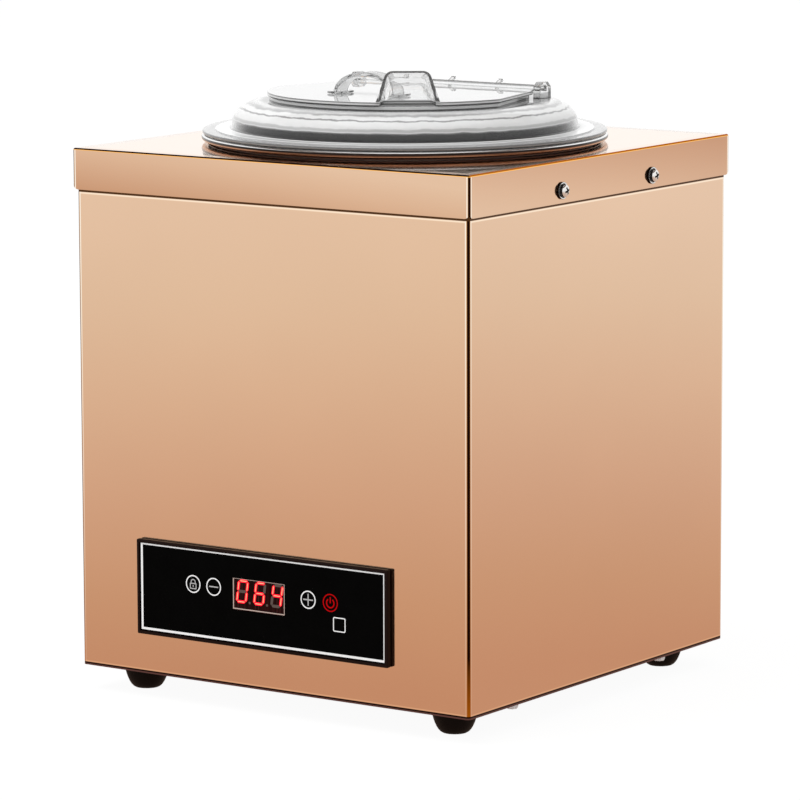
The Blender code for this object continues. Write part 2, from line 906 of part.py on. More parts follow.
def make_heater():
    """The cast plate under the well, its tubular element, and the clamp and nut that hold it."""
    bore = stud_radius + gap
    profile = [(bore, heater_top), (heater_radius, heater_top), (heater_radius, heater_bottom),
               (bore, heater_bottom)]
    plate = turned("heater_plate", profile, closed=True, steps=heater_steps)
    groove = element_radius + gap
    groove_profile = arc(element_ring_radius, heater_bottom, groove, 180, -180, 8)[:-1]
    cut(plate, turned("element_groove", groove_profile, closed=True, steps=heater_steps))
    show(plate, material("cast_aluminium", (0.62, 0.63, 0.64), 0.50, 1.0))

    curve = bpy.data.curves.new("heating_element", "CURVE")
    curve.dimensions = "3D"
    curve.bevel_depth = element_radius
    curve.bevel_resolution = 2
    curve.use_fill_caps = True
    curve.render_resolution_u = 0
    sweep = 360 - element_gap_angle
    count = round(sweep * heater_steps / 360)
    route = []
    for i in range(count + 1):
        turn = radians(-90 - element_gap_angle / 2 - sweep * i / count)
        route.append((element_ring_radius * cos(turn), element_ring_radius * sin(turn), heater_bottom))
    down = heater_bottom - element_drop
    first = route[0]
    last = route[-1]
    bend = element_radius + element_radius
    route = [(first[0] + bend, first[1], down), (first[0] + bend, first[1], heater_bottom - bend)] + route
    route += [(last[0] - bend, last[1], heater_bottom - bend), (last[0] - bend, last[1], down)]
    spline = curve.splines.new("POLY")
    spline.points.add(len(route) - 1)
    for point, place in zip(spline.points, route):
        point.co = (*place, 1)
    element = to_mesh(hide(bpy.data.objects.new("heating_element", curve)))
    smooth(element.data)
    show(element, material("element_sheath", (0.30, 0.31, 0.32), 0.45, 1.0))

    clamp_profile = [(bore, clamp_top), (clamp_radius, clamp_top), (clamp_radius, clamp_bottom),
                     (bore, clamp_bottom)]
    show(turned("heater_clamp", clamp_profile, closed=True, steps=small_steps), zinc())
    face = (0, 0, clamp_bottom - gap)
    nut = hex_nut("clamp_nut", face, (0, 0, -1), clamp_nut_width, bore, clamp_nut_height)
    show(nut, zinc())


def make_probe():
    """The temperature probe against the well's floor, its clip, and the overheat cutout on the clamp."""
    turn = radians(probe_angle)
    centre = Vector((probe_place_radius * cos(turn), probe_place_radius * sin(turn), 0))
    along = Vector((-sin(turn), cos(turn), 0))
    axis_z = well_bottom - gap - probe_radius
    start = centre - along * probe_length / 2
    end = centre + along * probe_length / 2
    probe = rod("temperature_probe", (start.x, start.y, axis_z), (end.x, end.y, axis_z), probe_radius,
                steps=screw_steps)
    show(probe, plain_steel())
    inner = probe_radius + gap
    outer = inner + clip_sheet
    seat = well_bottom - gap - axis_z
    tip = outer + clip_foot
    under = seat - clip_sheet
    outline = [(-tip, seat), (-tip, under), (-outer, under)]
    outline += arc(0, 0, outer, 180, 360, 6)[1:-1]
    outline += [(outer, under), (tip, under), (tip, seat)]
    outline += [(inner, seat)]
    outline += arc(0, 0, inner, 360, 180, 6)
    outline += [(-inner, seat)]
    clip = upright_slab("probe_clip", outline, (centre.x, centre.y, axis_z), along, clip_width)
    show(clip, zinc())

    turn = radians(cutout_angle)
    x = cutout_place_radius * cos(turn)
    y = cutout_place_radius * sin(turn)
    top = clamp_bottom - gap
    under = top - cutout_cap_height
    low = under - cutout_base_height
    cap = rod("thermal_cutout", (x, y, under), (x, y, top), cutout_radius)
    join(cap, rod("cutout_base", (x, y, low), (x, y, under + gap), cutout_base_radius))
    for side in (-1, 1):
        tab_x = x + side * cutout_tab_x
        tab_low = (tab_x - cutout_tab_thickness / 2, y - cutout_tab_width / 2, low - cutout_tab_length)
        tab_high = (tab_x + cutout_tab_thickness / 2, y + cutout_tab_width / 2, low + gap)
        join(cap, block(f"cutout_tab_{side}", tab_low, tab_high))
    show(cap, black_plastic())


def panel_planes():
    """Y of the panel's planes: flange back, flange front, overlay front, overlay back, board front."""
    back = front_y - gap
    front = front_y - panel_proud
    overlay_front = front + panel_recess
    overlay_back = overlay_front + overlay_thickness
    board_front = overlay_back + board_setback
    return back, front, overlay_front, overlay_back, board_front


def board_corner_places():
    x = board_width / 2 - post_inset
    z = board_height / 2 - post_inset
    return [(panel_x + sx * x, panel_z + sz * z) for sx in (-1, 1) for sz in (-1, 1)]


def make_panel():
    """The framed control panel: bezel, overlay, display, touch pads and the board behind them."""
    back, front, overlay_front, overlay_back, board_front = panel_planes()
    low = (panel_x - panel_width / 2, front, panel_z - panel_height / 2)
    high = (panel_x + panel_width / 2, back, panel_z + panel_height / 2)
    bezel = block("panel_bezel", low, high)
    soft = bezel.modifiers.new("soft_edges", "BEVEL")
    soft.width = panel_edge_round
    soft.segments = 2
    soft.limit_method = "ANGLE"
    neck_end = front_y + sheet + neck_depth
    neck_low = (panel_x - neck_width / 2, back - neck_sink, panel_z - neck_height / 2)
    neck_high = (panel_x + neck_width / 2, neck_end, panel_z + neck_height / 2)
    join(bezel, block("panel_neck", neck_low, neck_high))
    wall_inner = front_y + sheet + gap
    for side in (-1, 1):
        for end in (-1, 1):
            x = panel_x + end * barb_x
            z = panel_z + side * neck_height / 2
            barb_low = (x - barb_width / 2, wall_inner, z - barb_proud)
            barb_high = (x + barb_width / 2, wall_inner + barb_depth, z + barb_proud)
            join(bezel, block(f"barb_{side}_{end}", barb_low, barb_high))
    inner_x = neck_width / 2 - neck_wall
    inner_z = neck_height / 2 - neck_wall
    shelf = overlay_back + gap
    hollow_low = (panel_x - inner_x, shelf - overrun, panel_z - inner_z)
    hollow_high = (panel_x + inner_x, neck_end + overrun, panel_z + inner_z)
    cut(bezel, block("panel_hollow", hollow_low, hollow_high))
    pocket_x = panel_width / 2 - panel_rim
    pocket_z = panel_height / 2 - panel_rim
    pocket_low = (panel_x - pocket_x, front - overrun, panel_z - pocket_z)
    pocket_high = (panel_x + pocket_x, shelf, panel_z + pocket_z)
    cut(bezel, block("panel_pocket", pocket_low, pocket_high))
    for i, (x, z) in enumerate(board_corner_places()):
        side = 1 if z > panel_z else -1
        web_low = (x - web_thickness / 2, shelf + gap, min(z, panel_z + side * (inner_z + neck_wall / 2)))
        web_high = (x + web_thickness / 2, neck_end - gap, max(z, panel_z + side * (inner_z + neck_wall / 2)))
        rise = board_front - gap - shelf - gap
        foot = (x, shelf + gap, z)
        post = staked_post(f"board_post_{i}", foot, (0, 1, 0), rise, board_thickness, post_radius)
        join(bezel, block(f"post_web_{i}", web_low, web_high), *post)
    show(bezel, black_plastic())

    film_low = (panel_x - pocket_x + gap, overlay_front, panel_z - pocket_z + gap)
    film_high = (panel_x + pocket_x - gap, overlay_back, panel_z + pocket_z - gap)
    overlay = block("panel_overlay", film_low, film_high)
    hole_low = (display_x - display_width / 2, overlay_front - overrun, display_z - display_height / 2)
    hole_high = (display_x + display_width / 2, overlay_back + overrun, display_z + display_height / 2)
    cut(overlay, block("display_hole", hole_low, hole_high))
    show(overlay, material("black_glass", (0.01, 0.01, 0.01), 0.08))

    case_low = (hole_low[0] + gap, overlay_front + gap, hole_low[2] + gap)
    case_high = (hole_high[0] - gap, board_front - gap, hole_high[2] - gap)
    show(block("display_module", case_low, case_high), material("display_face", (0.10, 0.02, 0.02), 0.25))

    keys = {"lock": (touch_lock_x, touch_row_z), "minus": (touch_minus_x, touch_row_z),
            "plus": (touch_plus_x, touch_row_z), "power": (touch_power_x, touch_row_z),
            "set": (touch_set_x, touch_set_z)}
    for name, (x, z) in keys.items():
        start = (x, overlay_back + gap, z)
        end = (x, board_front - gap, z)
        pad = rod(f"touch_pad_{name}", start, end, touch_radius, steps=screw_steps)
        show(pad, material("sensor_foam", (0.12, 0.12, 0.12), 0.85))

    board_back = board_front + board_thickness
    low = (panel_x - board_width / 2, board_front, panel_z - board_height / 2)
    high = (panel_x + board_width / 2, board_back, panel_z + board_height / 2)
    board = block("control_board", low, high)
    for i, (x, z) in enumerate(board_corner_places()):
        start = (x, board_front - overrun, z)
        end = (x, board_back + overrun, z)
        cut(board, rod(f"board_hole_{i}", start, end, stake_radius + gap, steps=hidden_steps))
    show(board, material("circuit_board", (0.03, 0.20, 0.08), 0.50))


def power_board_levels():
    low = base_top + standoff_height + gap
    return low, low + board_thickness


def make_power_board():
    """The supply board on the base plate's posts, with its transformer and relay."""
    low_z, high_z = power_board_levels()
    low = (power_x - power_width / 2, power_y - power_depth / 2, low_z)
    high = (power_x + power_width / 2, power_y + power_depth / 2, high_z)
    board = block("power_board", low, high)
    for i, (x, y) in enumerate(standoff_places()):
        start = (x, y, low_z - overrun)
        end = (x, y, high_z + overrun)
        cut(board, rod(f"power_hole_{i}", start, end, stake_radius + gap, steps=hidden_steps))
    show(board, material("circuit_board", (0.03, 0.20, 0.08), 0.50))

    foot = high_z + gap
    x = transformer_x
    half = transformer_core_depth / 2
    core_low = (x - transformer_width / 2, power_y - half, foot)
    core_high = (x + transformer_width / 2, power_y + half, foot + transformer_height)
    core = block("transformer", core_low, core_high)
    half = transformer_bobbin_width / 2
    lift = (transformer_height - transformer_bobbin_height) / 2
    bobbin_low = (x - half, power_y - transformer_depth / 2, foot + lift)
    bobbin_high = (x + half, power_y + transformer_depth / 2, foot + transformer_height - lift)
    join(core, block("transformer_bobbin", bobbin_low, bobbin_high, transformer_round))
    show(core, material("transformer_steel", (0.25, 0.24, 0.22), 0.55, 0.6))

    relay_low = (relay_x - relay_width / 2, relay_y - relay_depth / 2, foot)
    relay_high = (relay_x + relay_width / 2, relay_y + relay_depth / 2, foot + relay_height)
    relay = block("relay", relay_low, relay_high, relay_round)
    show(relay, material("relay_case", (0.05, 0.10, 0.35), 0.40))


def terminal_way_x(i):
    return terminal_x + (i - (terminal_ways - 1) / 2) * terminal_width / terminal_ways


def make_terminals():
    """The stepped terminal block, and the earth stud with its nut."""
    foot = base_top + gap
    low = (terminal_x - terminal_width / 2, terminal_y - terminal_depth / 2, foot)
    high = (terminal_x + terminal_width / 2, terminal_y + terminal_depth / 2, foot + terminal_height)
    body = block("terminal_block", low, high)
    for side in (-1, 1):
        inner = terminal_y + side * (terminal_depth / 2 - terminal_ledge)
        outer = terminal_y + side * (terminal_depth / 2 + overrun)
        for i in range(terminal_ways):
            x = terminal_way_x(i)
            slot_low = (x - terminal_slot / 2, min(inner, outer), foot + terminal_step)
            slot_high = (x + terminal_slot / 2, max(inner, outer), high[2] + overrun)
            cut(body, block(f"terminal_slot_{side}_{i}", slot_low, slot_high))
    show(body, material("cream_plastic", (0.75, 0.72, 0.62), 0.50))

    face = (earth_x, earth_y, base_bottom - gap)
    show(pan_screw("earth_stud", face, (0, 0, 1), earth_length, earth_radius), zinc())
    nut = hex_nut("earth_nut", (earth_x, earth_y, base_top + gap), (0, 0, 1), nut_width, screw_radius + gap,
                  nut_height)
    show(nut, zinc())


def make_gland():
    """The cable gland in the rear wall: body, cap nut outside and locknut inside."""
    out = Vector((0, 1, 0))
    wall = Vector((gland_x, rear_y, gland_z))
    hex_start = wall + out * gap
    hex_end = hex_start + out * gland_hex_depth
    body = hexagon("gland_body", hex_start, hex_end, gland_hex)
    stub_end = wall - out * (sheet + gland_stub)
    thread_end = hex_end + out * gland_collar_length
    join(body, rod("gland_thread", stub_end, thread_end, gland_radius))
    bore_start = stub_end - out * overrun
    bore_end = thread_end + out * overrun
    cut(body, rod("gland_body_bore", bore_start, bore_end, gland_bore))
    show(body, black_plastic())

    turn = out.to_track_quat("Z", "Y").to_matrix().to_4x4()
    seat = gap
    inner = gland_radius + gap
    lip = gland_collar_length + gap + gap
    profile = [(gland_bore, gland_dome_length)]
    crown = gland_dome_radius - gland_bore
    profile += arc(gland_bore, lip + sheet, crown, 90, 0, arc_steps, gland_dome_length - lip - sheet)[1:]
    profile += [(gland_dome_radius, seat), (inner, seat), (inner, lip), (gland_bore, lip)]
    place = Matrix.Translation(hex_end) @ turn
    nut = turned("gland_nut", profile, closed=True, steps=small_steps, place=place)
    show(nut, black_plastic())

    lock_start = wall - out * (sheet + gap)
    lock = hex_nut("gland_locknut", lock_start, -out, locknut_hex, gland_radius + gap, locknut_depth)
    show(lock, black_plastic())


def make_leads():
    """The wires inside the cabinet, each ending against what it connects."""
    low_z, high_z = power_board_levels()
    (left_x, end_y), (right_x, _) = element_ends()
    bend = element_radius + element_radius
    terminal_end = heater_bottom - element_drop - gap
    way_y = terminal_y - terminal_depth / 2 - gap
    way_z = base_top + gap + terminal_step / 2
    rise = lead_swing
    relay_top = high_z + gap + relay_height + gap
    live_x = right_x - bend
    neutral_x = left_x + bend
    dip = lead_straight

    route = [(live_x, end_y, terminal_end), (live_x, end_y, terminal_end - dip),
             ((live_x + relay_x) / 2, (end_y + relay_y) / 2, (terminal_end + relay_top) / 2 - gap),
             (relay_x, relay_y, relay_top + dip), (relay_x, relay_y, relay_top)]
    show(lead("heater_lead_live", route, lead_radius), material("brown_wire", (0.22, 0.08, 0.03), 0.50))

    way = terminal_way_x(1)
    lift = high_z + (terminal_end - high_z) / 2
    route = [(neutral_x, end_y, terminal_end), (neutral_x, end_y, terminal_end - dip),
             ((neutral_x + way) / 2, (end_y + way_y) / 2, lift),
             (way, way_y - rise - dip, way_z + dip), (way, way_y - dip, way_z), (way, way_y, way_z)]
    show(lead("heater_lead_neutral", route, lead_radius), material("blue_wire", (0.03, 0.12, 0.45), 0.50))

    way = terminal_way_x(terminal_ways - 1)
    back_y = terminal_y + terminal_depth / 2 + gap
    ring_y = earth_y
    side_gap = nut_width / 2 / cos(pi / 6) + gap
    nut_mid = base_top + gap + nut_height / 2
    route = [(way, back_y, way_z), (way, back_y + dip, way_z), (way + rise, ring_y, way_z),
             (earth_x - side_gap - dip, ring_y, nut_mid), (earth_x - side_gap, ring_y, nut_mid)]
    show(lead("earth_lead", route, lead_radius), material("green_wire", (0.10, 0.35, 0.05), 0.50))

    turn = radians(probe_angle)
    along = Vector((-sin(turn), cos(turn), 0))
    centre = Vector((probe_place_radius * cos(turn), probe_place_radius * sin(turn), 0))
    axis_z = well_bottom - gap - probe_radius
    tip = centre - along * (probe_length / 2 + gap)
    out = tip - along * rise
    drop_x = power_x
    drop_y = power_y + power_depth / 2 - standoff_inset
    top = high_z + gap
    half_way = (axis_z + top) / 2
    route = [(tip.x, tip.y, axis_z), (tip.x - along.x * dip, tip.y - along.y * dip, axis_z),
             (out.x, out.y, half_way + dip), ((out.x + drop_x) / 2, drop_y + rise, half_way - dip),
             (drop_x, drop_y, top + dip), (drop_x, drop_y, top)]
    show(lead("sensor_lead", route, sensor_lead_radius), material("white_wire", (0.80, 0.80, 0.78), 0.50))

    board_back = panel_planes()[4] + board_thickness + gap
    start_x = panel_cable_x
    end_x = power_x + power_width / 2 - standoff_inset * 2
    front_edge = power_y - power_depth / 2 + standoff_inset
    route = [(start_x, board_back, panel_z), (start_x, board_back + dip, panel_z),
             (end_x, front_edge - rise, (panel_z + top) / 2), (end_x, front_edge, top + dip),
             (end_x, front_edge, top)]
    show(lead("panel_cable", route, panel_cable_radius), material("grey_cable", (0.35, 0.35, 0.36), 0.55))


def make_pot(joint):
    """The lift-out pot: a deep cup with a flat ledge and a rolled rim."""
    inner = pot_radius - pot_sheet
    ledge_top = pot_ledge_bottom + pot_sheet
    bead_centre = rim_radius - rim_bead
    bead_z = pot_ledge_bottom + rim_bead
    profile = [(0, pot_floor)]
    profile += arc(inner - pot_corner, pot_floor + pot_corner, pot_corner, -90, 0)
    profile += [(inner, ledge_top - pot_ledge_round), (inner + pot_ledge_round, ledge_top)]
    join_angle = degrees(asin((ledge_top - bead_z) / rim_bead))
    profile += arc(bead_centre, bead_z, rim_bead, 180 - join_angle, -90, 6)
    profile += [(pot_radius, pot_ledge_bottom)]
    outer_corner = pot_corner + pot_sheet
    profile += arc(pot_radius - outer_corner, pot_bottom + outer_corner, outer_corner, 0, -90)
    profile += [(0, pot_bottom)]
    pot = turned("soup_pot", profile)
    carry(show(pot, plain_steel()), joint)


def flap_outline(inset=0.0, rear_y=None, front_steps=22):
    """The flap's D shape: a round front, sides that converge, and a straight rear edge."""
    rear_line = hinge_y if rear_y is None else rear_y
    radius = flap_radius - inset
    waist_y = flap_waist_y
    waist_x = sqrt(radius * radius - waist_y * waist_y)
    rear_x = flap_rear_half - inset
    start = degrees(atan2(waist_y, waist_x))
    front = arc(0, 0, radius, 180 - start, 360 + start, front_steps)
    return front, rear_x, rear_line


def flap_plate_outline():
    """The flap's own outline, notched at its rear corners to clear the hinge ears."""
    front, rear_x, rear_line = flap_outline()
    points = list(front)
    points += [(rear_x, flap_notch_y - flap_corner_round / 2), (flap_notch_half, flap_notch_y)]
    points += [(flap_notch_half, rear_line), (-flap_notch_half, rear_line), (-flap_notch_half, flap_notch_y)]
    points += [(-rear_x, flap_notch_y - flap_corner_round / 2)]
    return points


def collar_outline(inset, rear_inset):
    """A D shape inside the flap's outline, for the collar and for the mouth."""
    front, rear_x, rear_line = flap_outline(inset, hinge_y - rear_inset)
    corner = flap_corner_round
    half = min(rear_x, flap_notch_half - rear_inset)
    return list(front) + [(half, rear_line - corner), (half - corner, rear_line),
                          (-half + corner, rear_line), (-half, rear_line - corner)]


def make_lid(joint):
    """The clear lid: flange, spigot, domed shoulder, flat top with a collared mouth, and two hinge ears."""
    inner_dome = dome_radius - lid_sheet
    spigot_outer = pot_radius - pot_sheet - lid_spigot_play
    spigot_inner = spigot_outer - lid_sheet
    spigot_bottom = lid_bottom - lid_spigot_depth
    flange_half = lid_flange_thickness / 2
    shoulder_wide = dome_radius - dome_flat_radius
    inner_wide = inner_dome - dome_flat_radius
    inner_tall = dome_shoulder_height - lid_sheet
    ceiling = lid_top - lid_sheet
    profile = [(0, lid_top)]
    profile += arc(dome_flat_radius, dome_wall_top, shoulder_wide, 90, 0, 6, dome_shoulder_height)
    foot_r = dome_radius + dome_foot_round
    profile += arc(foot_r, lid_step_top + dome_foot_round, dome_foot_round, 180, 270, 2)
    profile += [(lid_step_radius, lid_step_top), (lid_step_radius + lid_step_height, lid_flange_top)]
    profile += arc(lid_flange_radius - flange_half, lid_flange_top - flange_half, flange_half, 90, -90, 3)
    profile += [(spigot_outer, lid_bottom), (spigot_outer, spigot_bottom), (spigot_inner, spigot_bottom)]
    under = lid_step_top - lid_sheet
    profile += [(spigot_inner, under), (inner_dome, under)]
    profile += arc(dome_flat_radius, dome_wall_top, inner_wide, 0, 90, 4, inner_tall)
    profile += [(0, ceiling)]
    lid = turned("lid_dome", profile)
    collar = collar_outline(collar_inset, collar_inset)
    join(lid, slab("lid_collar", collar, lid_top - lid_sheet / 2, collar_top))
    mouth = collar_outline(mouth_inset, mouth_rear_inset)
    cut(lid, slab("lid_mouth", mouth, ceiling - overrun, collar_top + overrun))

    sink = lid_top - ear_sink
    rise = hinge_z + ear_rise
    half = ear_depth / 2
    chamfer = ear_corner_round
    outline = [(-half, sink), (half, sink), (half, rise - chamfer), (half - chamfer, rise),
               (-half + chamfer, rise), (-half, rise - chamfer)]
    for side in (-1, 1):
        x = side * (ear_inner_x + ear_thickness / 2)
        ear = upright_slab(f"lid_ear_{side}", outline, (x, hinge_y, 0), (side, 0, 0), ear_thickness)
        join(lid, ear)
    hole = barrel_radius + barrel_play
    reach = ear_inner_x + ear_thickness + overrun
    for side in (-1, 1):
        start = (side * (ear_inner_x - overrun), hinge_y, hinge_z)
        end = (side * reach, hinge_y, hinge_z)
        cut(lid, rod(f"ear_hole_{side}", start, end, hole, steps=screw_steps))
    carry(show(lid, clear_plastic()), joint)


def hood_section(foot_half, top_half, height, corner, inset=0.0, floor=0.0):
    """Half-round trapezoid, from one foot over the top to the other, in (across, height)."""
    foot = foot_half - inset
    top = top_half - inset
    roof = height - inset
    corners = [(foot, floor), (top, roof), (-top, roof), (-foot, floor)]
    shaped = rounded(corners, corner, arc_steps)
    per_corner = arc_steps + 1
    middle = shaped[per_corner:3 * per_corner]
    return [(foot, floor)] + middle + [(-foot, floor)]


def hood_form(name, inset, near, far, floor, far_height):
    """A loft from the hood's mouth section to its rear section; near and far are radii from the axis."""
    corner = hood_corner_round - inset
    mouth = hood_section(hood_foot_half, hood_top_half, hood_height, corner, inset, floor)
    rear = hood_section(hood_rear_foot_half, hood_rear_top_half, far_height, corner, inset, floor)
    turn = radians(hood_angle)
    outward = Vector((cos(turn), sin(turn), 0))
    across = Vector((-sin(turn), cos(turn), 0))
    bm = bmesh.new()
    loops = []
    for section, reach in ((rear, far), (mouth, near)):
        loop = []
        for u, w in section:
            loop.append(bm.verts.new(outward * reach + across * u + Vector((0, 0, flap_top + w))))
        loops.append(loop)
    count = len(mouth)
    for i in range(count):
        k = (i + 1) % count
        bm.faces.new((loops[0][i], loops[0][k], loops[1][k], loops[1][i]))
    bm.faces.new(loops[0])
    bm.faces.new(list(reversed(loops[1])))
    bmesh.ops.recalc_face_normals(bm, faces=bm.faces)
    return from_bmesh(name, bm)


def make_flap(joint):
    """The flap: plate, hinge barrel with its stops, and the hood over the ladle notch."""
    flap = slab("lid_flap", flap_plate_outline(), flap_bottom, flap_top)
    end_x = ear_inner_x + ear_thickness - gap
    join(flap, rod("hinge_barrel", (-end_x, hinge_y, hinge_z), (end_x, hinge_y, hinge_z), barrel_radius,
                   steps=screw_steps))

    final = radians(flap_open_angle - stop_rest_angle)
    fall = hinge_z - lid_top - gap
    stop_reach = (fall - cos(final) * stop_thickness / 2) / sin(final)
    rest = radians(stop_rest_angle)
    outward = Vector((0, cos(rest), sin(rest)))
    normal = Vector((0, -sin(rest), cos(rest)))
    axis = Vector((0, hinge_y, hinge_z))
    for i in range(stop_count):
        x = (i - (stop_count - 1) / 2) * stop_spacing
        stop = block(f"hinge_stop_{i}", (-stop_width / 2, 0, -stop_thickness / 2),
                     (stop_width / 2, stop_reach, stop_thickness / 2))
        turn = Matrix((Vector((1, 0, 0)), outward, normal)).transposed().to_4x4()
        stop.matrix_world = Matrix.Translation(axis + Vector((x, 0, 0))) @ turn
        join(flap, stop)

    near = hood_reach
    far = hood_reach - hood_length
    sunk = -flap_sheet / 2
    join(flap, hood_form("hood_outer", 0.0, near, far, sunk, hood_rear_height))
    slope = (hood_height - hood_rear_height) / hood_length
    through = -flap_sheet - overrun
    reach_out = flap_radius + overrun
    near_wall = far + hood_sheet
    inner_rear_height = hood_rear_height + slope * hood_sheet
    cavity = hood_form("hood_inner", hood_sheet, near + gap, near_wall, through, inner_rear_height)
    turn = radians(hood_angle)
    outward = Vector((cos(turn), sin(turn), 0))
    middle = outward * (near + reach_out) / 2
    deep = (reach_out - near) / 2
    wide = hood_foot_half - hood_sheet
    notch = block("hood_notch", (-deep, -wide, flap_bottom - overrun), (deep, wide, flap_top + overrun))
    notch.matrix_world = Matrix.Translation(middle) @ Matrix.Rotation(turn, 4, "Z")
    cut(flap, cavity, notch)
    carry(show(flap, clear_plastic()), joint)


def make_handle(joint):
    """The strap handle that stands on the flap."""
    foot = flap_top + gap
    inner_half = handle_half - handle_sheet
    inner_rise = handle_rise - handle_sheet
    arch_steps = 14
    outline = arc(0, foot, handle_half, 0, 180, arch_steps, handle_rise)
    outline += arc(0, foot, inner_half, 180, 0, arch_steps, inner_rise)
    strap = upright_slab("flap_handle", outline, (0, handle_y, 0), (0, -1, 0), handle_width)
    middle = handle_half - handle_sheet / 2
    for side in (-1, 1):
        pad = rod(f"handle_pad_{side}", (0, 0, 0), (0, 0, handle_foot_height), handle_foot_length)
        stretch = Matrix.Diagonal((1, handle_foot_width / handle_foot_length, 1, 1))
        pad.data.transform(stretch)
        pad.location = (side * middle, handle_y, foot)
        join(strap, pad)
    carry(show(strap, clear_plastic()), joint)


clear_scene()
make_cabinet()
make_cover()
make_cover_screws()
make_base()
make_feet()
make_well()
make_jacket()
make_heater()
make_probe()
make_panel()
make_power_board()
make_terminals()
make_gland()
make_leads()
pot_joint = joint_empty("pot_slide", (0, 0, pot_rim_top))
lid_joint = joint_empty("lid_slide", (0, 0, lid_flange_top), pot_joint)
flap_joint = joint_empty("flap_hinge", (0, hinge_y, hinge_z), lid_joint)
make_pot(pot_joint)
make_lid(lid_joint)
make_flap(flap_joint)
make_handle(flap_joint)
centre_footprint()
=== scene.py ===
"""Looks of the soup kettle warmer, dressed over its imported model.

Shapes are in millimetres about the cabinet's upright axis, heights from the floor.
"""

from math import asin, atan2, cos, degrees, hypot, pi, radians, sin, sqrt, tan

import bmesh
import bpy
from mathutils import Matrix, Vector


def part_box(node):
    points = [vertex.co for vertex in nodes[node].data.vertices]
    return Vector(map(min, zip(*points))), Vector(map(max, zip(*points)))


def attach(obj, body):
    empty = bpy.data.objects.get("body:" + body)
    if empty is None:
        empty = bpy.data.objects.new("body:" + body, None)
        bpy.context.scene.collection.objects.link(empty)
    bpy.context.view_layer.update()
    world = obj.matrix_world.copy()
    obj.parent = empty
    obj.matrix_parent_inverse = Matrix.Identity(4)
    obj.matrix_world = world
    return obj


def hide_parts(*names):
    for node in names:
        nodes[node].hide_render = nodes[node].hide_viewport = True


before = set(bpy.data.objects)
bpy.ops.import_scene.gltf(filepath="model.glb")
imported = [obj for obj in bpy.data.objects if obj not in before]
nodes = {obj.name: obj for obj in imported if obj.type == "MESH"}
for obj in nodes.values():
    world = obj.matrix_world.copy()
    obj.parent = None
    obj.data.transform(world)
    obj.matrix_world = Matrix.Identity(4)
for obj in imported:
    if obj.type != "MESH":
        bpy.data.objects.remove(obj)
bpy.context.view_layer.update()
scene = bpy.context.scene

AXIS_Y = -8.65
TO_METRES = Matrix.Translation((0, AXIS_Y / 1000, 0)) @ Matrix.Scale(0.001, 4)
AROUND = 256
CORNERS = ("left_front", "left_rear", "right_front", "right_rear")
COVER_HALF, COVER_TOP, COVER_LOW = 140, 323.7, 299.3
WALL_HALF, WALL_LOW, WALL_TOP = 138.4, 15, 322.4
COVER_HOLE, SCREW_HOLE = 112.8, 2.3


# ---- shapes

def bridged(bm, sections, closed=False):
    """Faces between loops of points, where a loop of one point is an apex."""
    loops = [[bm.verts.new(p) for p in section] for section in sections]
    for a, b in zip(loops, loops[1:] + (loops[:1] if closed else [])):
        count = max(len(a), len(b))
        for i in range(count):
            k = (i + 1) % count
            if len(a) == 1:
                bm.faces.new((a[0], b[i], b[k]))
            elif len(b) == 1:
                bm.faces.new((a[i], b[0], a[k]))
            else:
                bm.faces.new((a[i], b[i], b[k], a[k]))
    return loops


def in_scene(name, data):
    made = bpy.data.objects.new(name, data)
    scene.collection.objects.link(made)
    return made


def mesh_of(bm, name="shape"):
    mesh = bpy.data.meshes.new(name)
    bm.to_mesh(mesh)
    bm.free()
    return in_scene(name, mesh)


def shape_of(bm, place=None):
    """An object in the scene from a bmesh, its normals pointing out."""
    bmesh.ops.recalc_face_normals(bm, faces=bm.faces)
    made = mesh_of(bm)
    return made if place is None else placed(made, place)


def applied(thing):
    """Apply an object's modifiers."""
    graph = bpy.context.evaluated_depsgraph_get()
    mesh = bpy.data.meshes.new_from_object(thing.evaluated_get(graph))
    thing.modifiers.clear()
    thing.data = mesh
    return thing


def combined(thing, how, tools):
    for tool in tools:
        step = thing.modifiers.new("step", "BOOLEAN")
        step.operation = how
        step.solver = "EXACT"
        step.object = tool
    applied(thing)
    for tool in tools:
        bpy.data.objects.remove(tool)
    return thing


def cut(thing, *tools):
    return combined(thing, "DIFFERENCE", tools)


def fused(thing, *others):
    return combined(thing, "UNION", others)


def placed(thing, matrix):
    thing.data.transform(matrix)
    if matrix.determinant() < 0:
        thing.data.flip_normals()
    return thing


def arc(centre_r, centre_z, wide, start, end, steps=12, tall=None):
    high = wide if tall is None else tall
    angles = [radians(start + (end - start) * i / steps) for i in range(steps + 1)]
    return [(centre_r + wide * cos(a), centre_z + high * sin(a)) for a in angles]


def softened(points, radius, closed=False, least=20, steps=5):
    """Round the sharp corners of an outline with short arcs."""
    count = len(points)
    made = []
    for i, place in enumerate(points):
        if not closed and i in (0, count - 1):
            made.append(place)
            continue
        here = Vector(place)
        before = Vector(points[i - 1]) - here
        after = Vector(points[(i + 1) % count]) - here
        if before.length < 1e-6 or after.length < 1e-6:
            continue
        half_angle = before.angle(after) / 2
        if pi - 2 * half_angle < radians(least):
            made.append(place)
            continue
        reach = min(radius / tan(half_angle), 0.45 * min(before.length, after.length))
        size = reach * tan(half_angle)
        middle = here + (before.normalized() + after.normalized()).normalized() * hypot(reach, size)
        first = here + before.normalized() * reach - middle
        last = here + after.normalized() * reach - middle
        sweep = first.angle_signed(last)
        for k in range(steps + 1):
            spoke = first.copy()
            spoke.rotate(Matrix.Rotation(-sweep * k / steps, 2))
            made.append(tuple(middle + spoke))
    return made


